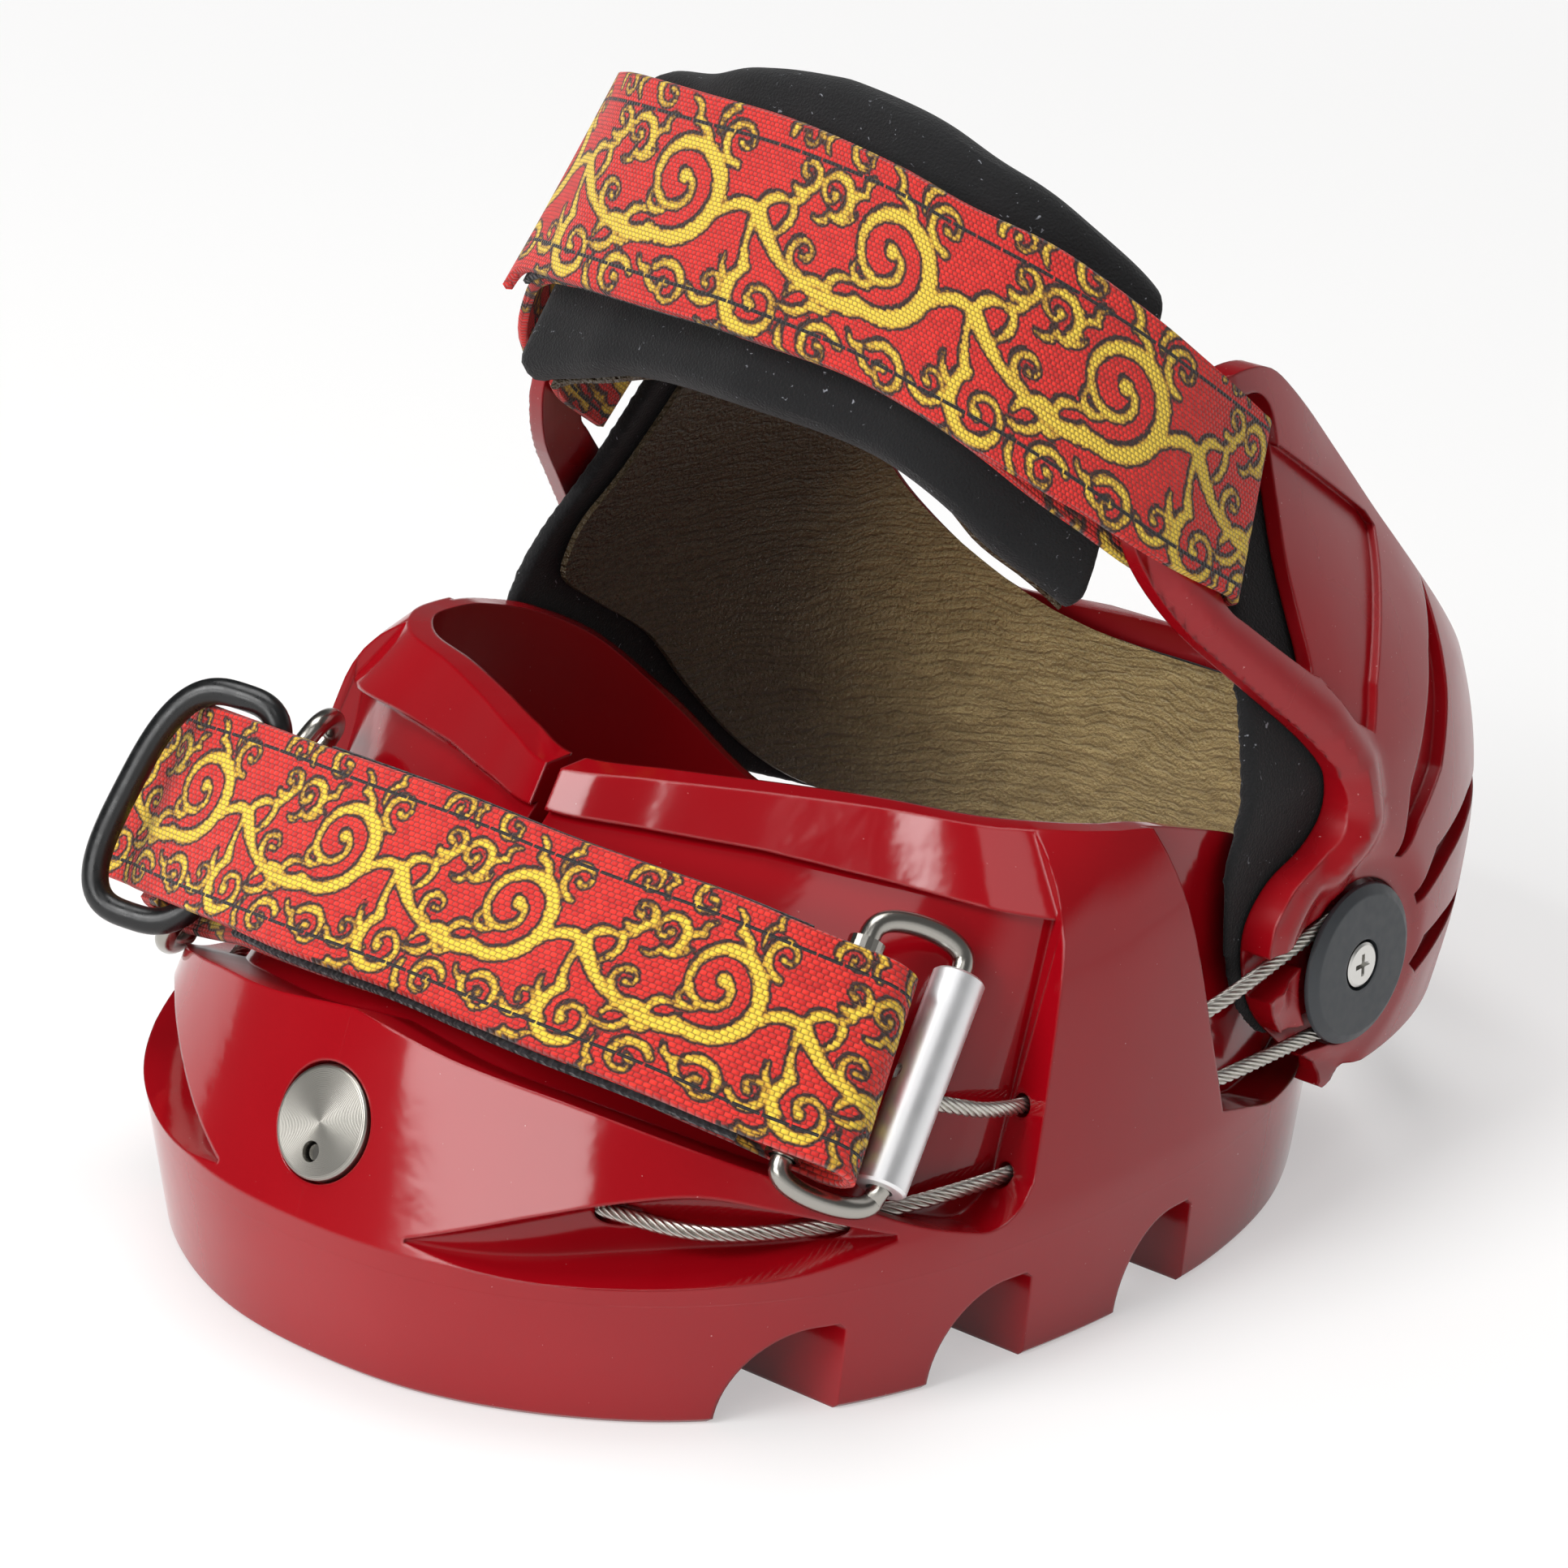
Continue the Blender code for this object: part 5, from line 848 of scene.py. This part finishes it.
def scroll_print():
    """A repeating tile of a leafy scroll: at each place, the millimetres to the nearest gold edge."""
    dabs = []

    def stroke(path, widths):
        for i in range(70):
            t = i / 69
            x, y = path(t)
            dabs.append((x, y, widths(t)))

    def curl(x, y, radius, start, turns, width, side):
        def path(t):
            reach = radius * (1 - t) ** 0.9 + radius * 0.16
            turn = start + side * 2 * math.pi * turns * t
            return x + reach * math.cos(turn), y + reach * math.sin(turn)
        stroke(path, lambda t: width * (0.55 + 0.45 * math.sin(math.pi * min(1.6 * t + 0.15, 1.0))) * (1 - 0.35 * t))
        end = path(1.0)
        dabs.append((end[0], end[1], width * 0.8))

    def leaf(x, y, heading, length, bend, width):
        def path(t):
            turn = heading + bend * t
            return x + length * t * math.cos(turn), y + length * t * math.sin(turn)
        stroke(path, lambda t: width * (0.45 + 1.1 * t) * (1 - t) ** 0.75 + 0.03)

    def stem(start, bend, end, width):
        def path(t):
            return tuple((1 - t) ** 2 * a + 2 * t * (1 - t) * b + t * t * c for a, b, c in zip(start, bend, end))
        stroke(path, lambda t: width * (0.75 + 0.25 * math.cos(2 * math.pi * t)))

    def sprig(x, y, heading, size, side):
        leaf(x, y, heading + side * 0.55, size * 0.95, side * 1.0, size * 0.15)
        leaf(x, y, heading - side * 0.15, size * 0.62, -side * 1.3, size * 0.13)

    # The vine rises across the webbing and turns back into one large scroll.
    for numbers in (
            ((24.6, 4.6), (26.0, 1.6), (25.0, -1.6), 0.62), ((25.0, -1.2), (19.0, 6.2), (10.8, 4.1), 0.86)):
        stem(*numbers)
    for numbers in (
            (22.2, 7.6, 3.3, -0.95, 1.25, 0.74, 1), (8.6, -1.9, 5.3, 1.15, 1.5, 0.98, 1),
            (11.2, 0.2, 1.5, 2.6, 0.8, 0.42, -1), (18.2, 1.2, 1.8, 1.6, 1.05, 0.44, -1),
            (16.8, -5.6, 2.2, 2.2, 1.1, 0.56, 1), (14.2, 9.6, 2.2, 3.6, 1.1, 0.48, 1),
            (6.4, 8.8, 2.3, 5.6, 1.1, 0.48, -1), (1.2, 7.2, 2, 0.4, 1.05, 0.44, 1),
            (2.4, -7.6, 2.2, 1.6, 1.1, 0.46, -1), (13.8, -10.4, 2, 4.4, 1.05, 0.44, 1),
            (21.8, -10.2, 1.9, 0.2, 1.05, 0.42, -1), (20.6, -6.6, 1.8, 1, 1.05, 0.46, 1)):
        curl(*numbers)
    for numbers in (
            (24.8, -1, -1.15, 6.6, 1), (14.6, 3.8, -1.1, 5.4, 1), (15.8, 5.2, 1.9, 4.4, -1),
            (9, -8.3, -2.5, 4.4, -1), (16.6, -3.6, 1.9, 3.6, 1), (17.4, 11.2, 0.2, 3.4, -1),
            (9.4, 7.4, 0.9, 3.4, 1), (1, 11.2, 1.9, 3.4, 1), (4.2, -10.6, -0.4, 3.4, 1),
            (18.6, -11.2, 0.1, 3.6, -1), (21.4, -3.6, 2.8, 4.6, -1), (12.6, -6.6, -0.6, 3.4, 1),
            (25.2, 6.6, 0.6, 3.8, -1)):
        sprig(*numbers)
    count = int(TILE / TILE_STEP)
    places = (np.arange(count) + 0.5) * TILE_STEP
    grid = np.full((count, count), 9.0)
    for x, y, width in dabs:
        dx = (places - x + TILE / 2) % TILE - TILE / 2
        dy = (places - TILE / 2 - y + TILE / 2) % TILE - TILE / 2
        near_x, near_y = np.abs(dx) < 3.5, np.abs(dy) < 3.5
        block = np.hypot(dx[near_x][:, None], dy[near_y][None, :]) - width
        window = np.ix_(near_x, near_y)
        grid[window] = np.minimum(grid[window], block)
    return grid


def read_tile(grid, along, across):
    """The tile's value at places along and across the webbing, in its millimetres."""
    count = grid.shape[0]
    x = (np.asarray(along) / TILE_STEP - 0.5) % count
    y = ((np.asarray(across) + TILE / 2) / TILE_STEP - 0.5) % count
    x0, y0 = np.floor(x).astype(int), np.floor(y).astype(int)
    fx, fy = x - x0, y - y0
    x1, y1 = (x0 + 1) % count, (y0 + 1) % count
    x0, y0 = x0 % count, y0 % count
    return ((grid[x0, y0] * (1 - fx) + grid[x1, y0] * fx) * (1 - fy)
            + (grid[x0, y1] * (1 - fx) + grid[x1, y1] * fx) * fy)


def facing(pairs, i):
    """The band's direction along its run, across it, and its outward direction, at one station."""
    behind, ahead = pairs[max(i - 1, 0)], pairs[min(i + 1, len(pairs) - 1)]
    along = (ahead[0] + ahead[1] - behind[0] - behind[1]).normalized()
    across = (pairs[i][1] - pairs[i][0]).normalized()
    return along, across, across.cross(along).normalized()


def shifted(pairs, depths, widen=0.0):
    """The same band further in by the given depths, and wider at both edges."""
    result = []
    for i, (top, low) in enumerate(pairs):
        _, across, out = facing(pairs, i)
        depth = depths[i] if isinstance(depths, list) else depths
        result.append((top - out * depth - across * widen, low - out * depth + across * widen))
    return result


def folded(pairs):
    """A half turn from the run's last station towards the band's inner side, without the turn's last station."""
    radius, steps = 0.0033, 24
    along, _, out = facing(pairs, len(pairs) - 1)
    result = []
    for step in range(1, steps):
        turn = math.pi * step / steps
        move = out * radius * (math.cos(turn) - 1) + along * radius * math.sin(turn)
        result.append((pairs[-1][0] + move, pairs[-1][1] + move))
    return result


def run_lengths(pairs):
    total, lengths = 0.0, [0.0]
    for before, after in zip(pairs, pairs[1:]):
        total += ((after[0] + after[1]) / 2 - (before[0] + before[1]) / 2).length
        lengths.append(total)
    return lengths


def mirrored(pairs):
    """The band's mirror image on the boot's other side, in the same order of stations."""
    return [(Vector((-a.x, a.y, a.z)), Vector((-b.x, b.y, b.z))) for a, b in pairs]


def strap_path(sewn_run, sewn_length, left_fold, under, right_fold, outer):
    """A strap's whole run: its sewn left end, a fold, the lower layer, the right fold and the outer layer."""
    sewn_run = mirrored(sewn_run[::-1])
    sewn = [pair for pair, length in zip(sewn_run, run_lengths(sewn_run)) if length <= sewn_length]
    return sewn[::-1] + left_fold + under + right_fold[::-1] + outer[::-1]


def edge_pairs(upper, lower, steps_each):
    return [(Vector(a), Vector(b)) for a, b in zip(curve_run(upper, steps_each), curve_run(lower, steps_each))]


def spaced(outer_half, hold, rest):
    """The layer below a half run, its spacing going from the fold's, held for a length, to the resting one."""
    fold_spacing, ease = 0.0066, 0.020
    lengths = run_lengths(outer_half)
    shares = [1 - eased((lengths[-1] - length - hold) / ease, 0.0, 1.0) for length in lengths]
    return shifted(outer_half, [rest + (fold_spacing - rest) * share for share in shares])


def band(name, pairs, thickness, columns, finish, grid=None, scale=1.0, roundness=0.5, wave=0.0):
    """A flat strap with round edges; with a grid it carries its run in millimetres and its print."""
    sections, places = [], []
    half = thickness / 2
    edge = half * roundness
    for i, (length, (top, low)) in enumerate(zip(run_lengths(pairs), pairs)):
        _, across, out = facing(pairs, i)
        wide = (low - top).length
        section = []
        for face in (1, -1):
            for j in range(columns + 1)[::face]:
                share = j / columns
                place = edge + (wide - 2 * edge) * share
                ripple = wave * (math.sin(length * 900 + share * 7) + math.sin(length * 430 - share * 11))
                section.append(top + across * place + out * (face * half + ripple * face))
                places.append((length, place - wide / 2))
            end = wide if face > 0 else 0.0
            section.append(top + across * end)
            places.append((length, end - wide / 2))
        sections.append(section)
    piece = loft(name, sections, finish, sharp_angle=60)
    mesh = piece.data
    runs, acrosses = np.array(places).T * 1000
    if grid is not None:
        for key, dx, dy in (("print_gold", 0.0, 0.0), ("print_shade", -0.30, 0.28)):
            values = read_tile(grid, (runs + dx * scale) / scale, (acrosses + dy * scale) / scale) * scale
            mesh.attributes.new(key, "FLOAT", "POINT").data.foreach_set("value", values.astype(np.float32))
    layer = mesh.uv_layers.new(name="run")
    corners = np.empty(len(mesh.loops), np.int32)
    mesh.loops.foreach_get("vertex_index", corners)
    layer.data.foreach_set("uv", np.stack([runs[corners], acrosses[corners]], 1).astype(np.float32).ravel())
    return piece


def webbing_finish(name, red, deep_red, gold, deep_gold, rib_length, rib_width):
    """Ribbed webbing: short raised ribs laid like bricks, with painted shade in the gaps between them, the print in
    the thread and black stitching.
    """
    finish, tree, shader = new_finish(name, Roughness=0.78, Sheen_Weight=0.2)
    apart = put(tree, "SeparateXYZ", [put(tree, "UVMap", uv_map="run")])
    rows = put(tree, "Math", [apart.outputs[1], rib_width], operation="DIVIDE")
    row = put(tree, "Math", [rows], operation="FLOOR")
    cells = put(tree, "Math", [apart.outputs[0], rib_length], operation="DIVIDE")
    moved = put(tree, "Math", [row, 0.5, cells], operation="MULTIPLY_ADD")
    cell = put(tree, "Math", [moved], operation="FLOOR")
    waves = []
    for places in (rows, moved):
        part = put(tree, "Math", [places], operation="FRACT")
        turn = put(tree, "Math", [part, math.pi], operation="MULTIPLY")
        waves.append(put(tree, "Math", [turn], operation="SINE"))
    product = put(tree, "Math", waves, operation="MULTIPLY")
    rib = put(tree, "Math", [product, 0.6], operation="POWER")
    spot = put(tree, "CombineXYZ", [cell, row])
    chance = put(tree, "TexWhiteNoise", {"Vector": spot}, noise_dimensions="2D")
    jag = put(tree, "Math", [chance, 0.22, -0.11], operation="MULTIPLY_ADD")
    edges = []
    for key in ("print_gold", "print_shade"):
        away = put(tree, "Attribute", attribute_name=key).outputs["Fac"]
        edges.append(put(tree, "Math", [away, jag], operation="ADD"))
    # Shares that start and end at these distances from an edge: gold, its bright middle, its dark rim and its shade.
    is_gold, is_bright, is_rim, is_low = (
        put(tree, "MapRange", [edges[which], start, end])
        for which, start, end in ((0, 0.10, -0.06), (0, 0.02, -0.30), (0, 0.40, 0.24), (1, 0.20, 0.04)))
    is_shade = put(tree, "Math", [is_low, is_rim], operation="MAXIMUM")
    golden = put(tree, "Mix", {0: is_bright, 6: colour(deep_gold), 7: colour(gold)}, data_type="RGBA")
    # Painted shade: the gaps between the ribs darken the colour.
    painted_gap_shade = put(tree, "MapRange", [rib, 0.15, 0.55, 0.50, 1.0])
    stitch_line, stitch_length = 9.3, 3.2
    from_middle = put(tree, "Math", [apart.outputs[1]], operation="ABSOLUTE")
    line = put(tree, "Math", [from_middle, stitch_line, 0.20], operation="COMPARE")
    stitches = put(tree, "Math", [apart.outputs[0], stitch_length], operation="DIVIDE")
    stitch = put(tree, "Math", [stitches], operation="FRACT")
    thread = put(tree, "Math", [stitch, 0.93], operation="LESS_THAN")
    sewn = put(tree, "Math", [line, thread], operation="MULTIPLY")
    top = colour(red)
    for share, over, blend in ((chance, colour(deep_red), "MIX"), (is_shade, colour("#34170F"), "MIX"),
                               (is_gold, golden, "MIX"), (1.0, painted_gap_shade, "MULTIPLY"), (sewn, colour("#1A1414"), "MIX")):
        top = put(tree, "Mix", {0: share, 6: top, 7: over}, data_type="RGBA", blend_type=blend)
    sunk = put(tree, "Math", [sewn, -0.6, rib], operation="MULTIPLY_ADD")
    bump = put(tree, "Bump", {"Strength": 0.9, "Distance": 0.00022, "Height": sunk})
    feed(shader, {"Base Color": top, "Normal": bump})
    return finish


print_grid = scroll_print()
toe_webbing = webbing_finish("printed_ribbed_webbing", "#EA2A1C", "#C8140E", "#F4CE3C", "#B87C16", 0.90, 0.58)
toe_fine = edge_pairs(TOE_UPPER_EDGE, TOE_LOWER_EDGE, 22)
toe_plain = edge_pairs(TOE_UPPER_EDGE, TOE_LOWER_EDGE, PLAIN_STEPS)
toe_right = toe_plain[7 * PLAIN_STEPS:]
toe_under_right = spaced(toe_right, 0.006, 0.0034)
toe_under = mirrored(toe_under_right[:0:-1]) + toe_under_right
toe_fold = folded(toe_right)
toe_path = strap_path(toe_right, 0.0065, mirrored(toe_fold), toe_under, toe_fold, toe_fine)
toe_strap = band("toe_webbing", toe_path, WEBBING, 60, toe_webbing, print_grid)
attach(toe_strap, "shell")
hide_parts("toe_strap")
run_lengths(toe_path)[-1]

hook_tape, tree, shader = new_finish("woven_hook_tape", Roughness=0.95, Sheen_Weight=0.2)
where = put(tree, "TexCoord").outputs["Object"]
loops = put(tree, "TexVoronoi", {"Vector": where, "Scale": 1400.0})
tone = put(tree, "Mix", {0: loops, 6: colour("#0A0A0C"), 7: colour("#2C2C30")}, data_type="RGBA")
bump = put(tree, "Bump", {"Strength": 1.0, "Distance": 0.0004, "Height": loops})
feed(shader, {"Base Color": tone, "Normal": bump})
tape_run = shifted(toe_plain, 0.0015, 0.0006)[4 * PLAIN_STEPS:11 * PLAIN_STEPS + 1]
toe_tape = band("toe_hook_tape", tape_run, 0.0009, 12, hook_tape)
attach(toe_tape, "shell")
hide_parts("toe_strap_tape")

# Pull ring: an oval of 3 mm steel wire with a satin black powder coat.
# The strap's tail is sewn round its front side, and the hand lifts it to open the strap.
powder = grained("satin_powder_coat", ("#141516",), 900.0, 2.0, (0.24, 0.38), 0.15, IOR=1.5)
RING_HALF_LONG, RING_HALF_WIDE, RING_SQUARENESS = 0.0145, 0.0077, 0.66
ring_pairs = edge_pairs(TOE_UPPER_EDGE, TOE_LOWER_EDGE, 3)
ring_along, ring_across, ring_out = facing(ring_pairs, 6)
ring_tilt, ring_lean = math.radians(40), math.radians(5)
ring_long = ring_across * math.cos(ring_lean) + ring_out * math.sin(ring_lean)
ring_middle = (ring_pairs[6][0] + ring_pairs[6][1]) / 2 + ring_along * 0.003
ring_middle += ring_out * 0.0002 + ring_across * 0.0005
ring_short = (ring_out * math.sin(ring_tilt) - ring_along * math.cos(ring_tilt)).normalized()
ring_points = []
for step in range(144):
    turn = 2 * math.pi * step / 144
    reach, aside = (math.copysign(abs(wave) ** RING_SQUARENESS, wave) * half for wave, half in (
        (math.cos(turn), RING_HALF_LONG), (math.sin(turn), RING_HALF_WIDE)))
    ring_points.append(ring_middle + ring_long * reach + ring_short * aside)
even = [ring_points[0]]
for point in ring_points[1:]:
    if (point - even[-1]).length > 0.0003:
        even.append(point)
ring = wire("oval_ring", even, 0.0016, 32, powder, closed_run=True)
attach(ring, "ring")
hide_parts("pull_ring")

# Pastern strap: the same webbing with a larger scroll, round the right arm through its window.
# It crosses the front of the pastern and is sewn round the left arm.
PASTERN_UPPER_EDGE = metres(
    (-38.5, 19.5, 120), (-36, 16.5, 121.8), (-27, 9.5, 124.7), (-14, 6.4, 125.5), (0, 6.4, 124.9),
    (14, 6.5, 122.7), (24, 8, 119.4), (33.6, 11.5, 115.8), (41.8, 17.2, 109), (46.2, 23.2, 102.4),
    (46.8, 32.5, 94.4))
PASTERN_LOWER_EDGE = metres(
    (-41.5, 1.5, 97.5), (-37, 0, 100.9), (-26, -4, 102.7), (-13, -6, 103.3), (0, -5.7, 102.9), (16, -4.1, 101),
    (27.2, -3.2, 98.1), (36.8, -0.8, 93.7), (44.4, 3.9, 88.9), (49.5, 10.7, 83), (51.7, 20.7, 76.7))
pastern_webbing = webbing_finish("printed_fine_webbing", "#E4261B", "#C81812", "#EDC93F", "#B47C1C", 0.62, 0.50)
pastern_fine = edge_pairs(PASTERN_UPPER_EDGE, PASTERN_LOWER_EDGE, 26)
pastern_plain = edge_pairs(PASTERN_UPPER_EDGE, PASTERN_LOWER_EDGE, PLAIN_STEPS)
pastern_right = pastern_plain[4 * PLAIN_STEPS:]
pastern_under_right = spaced(pastern_right, 0.025, 0.0031)
pastern_fold = folded(pastern_right)
crossing = [0.0031 * (1 - eased((length - 0.029) / 0.016, 0.0, 1.0)) for length in run_lengths(pastern_right)]
# Left of the middle the strap climbs by these lengths, at these distances from the middle.
LEFT_LIFT = metres((0, 0), (16, 2.2), (27, 4.8), (37, 7.2), (44, 6.8), (49.5, 3), (51.5, 0))
pastern_under, pad_line = [], []
for top, low in mirrored(shifted(pastern_right, crossing)[:0:-1]) + pastern_under_right:
    lift = (top - low).normalized() * (table_value(LEFT_LIFT, -low.x) if low.x < 0 else 0.0)
    pastern_under.append((top + lift, low + lift))
    pad_line.append((top + lift * 0.45, low + lift * 0.45))
pastern_path = strap_path(pastern_under_right, 0.014, mirrored(pastern_fold[::-1]), pastern_under, pastern_fold,
                          pastern_fine)
pastern_strap = band("pastern_webbing", pastern_path, WEBBING, 60, pastern_webbing, print_grid, scale=1.12)
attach(pastern_strap, "heel_piece")
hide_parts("pastern_strap")
run_lengths(pastern_path)[-1]
pastern_tape = band("pastern_hook_tape", shifted(pastern_plain, 0.0015)[3:25], 0.0009, 12, hook_tape)
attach(pastern_tape, "heel_piece")
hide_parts("pastern_strap_tape")

# Pastern pad: a strip of 5 mm neoprene under the strap, with a thin leather face towards the leg.
# Its edges are cut by hand and rubbed round.
pad_run = shifted(pad_line, 0.0036, 0.0075)[13:-6]
pad = band("pastern_foam", pad_run, 0.005, 24, neoprene, roundness=0.6, wave=0.00006)
shape(pad, "SUBSURF", levels=1, render_levels=1)
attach(pad, "heel_piece")
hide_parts("pastern_pad")
pad_face = band("pastern_leather", shifted(pad_run, 0.0034, -0.0010), 0.0009, 24, leather)
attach(pad_face, "heel_piece")
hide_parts("pastern_pad_lining")
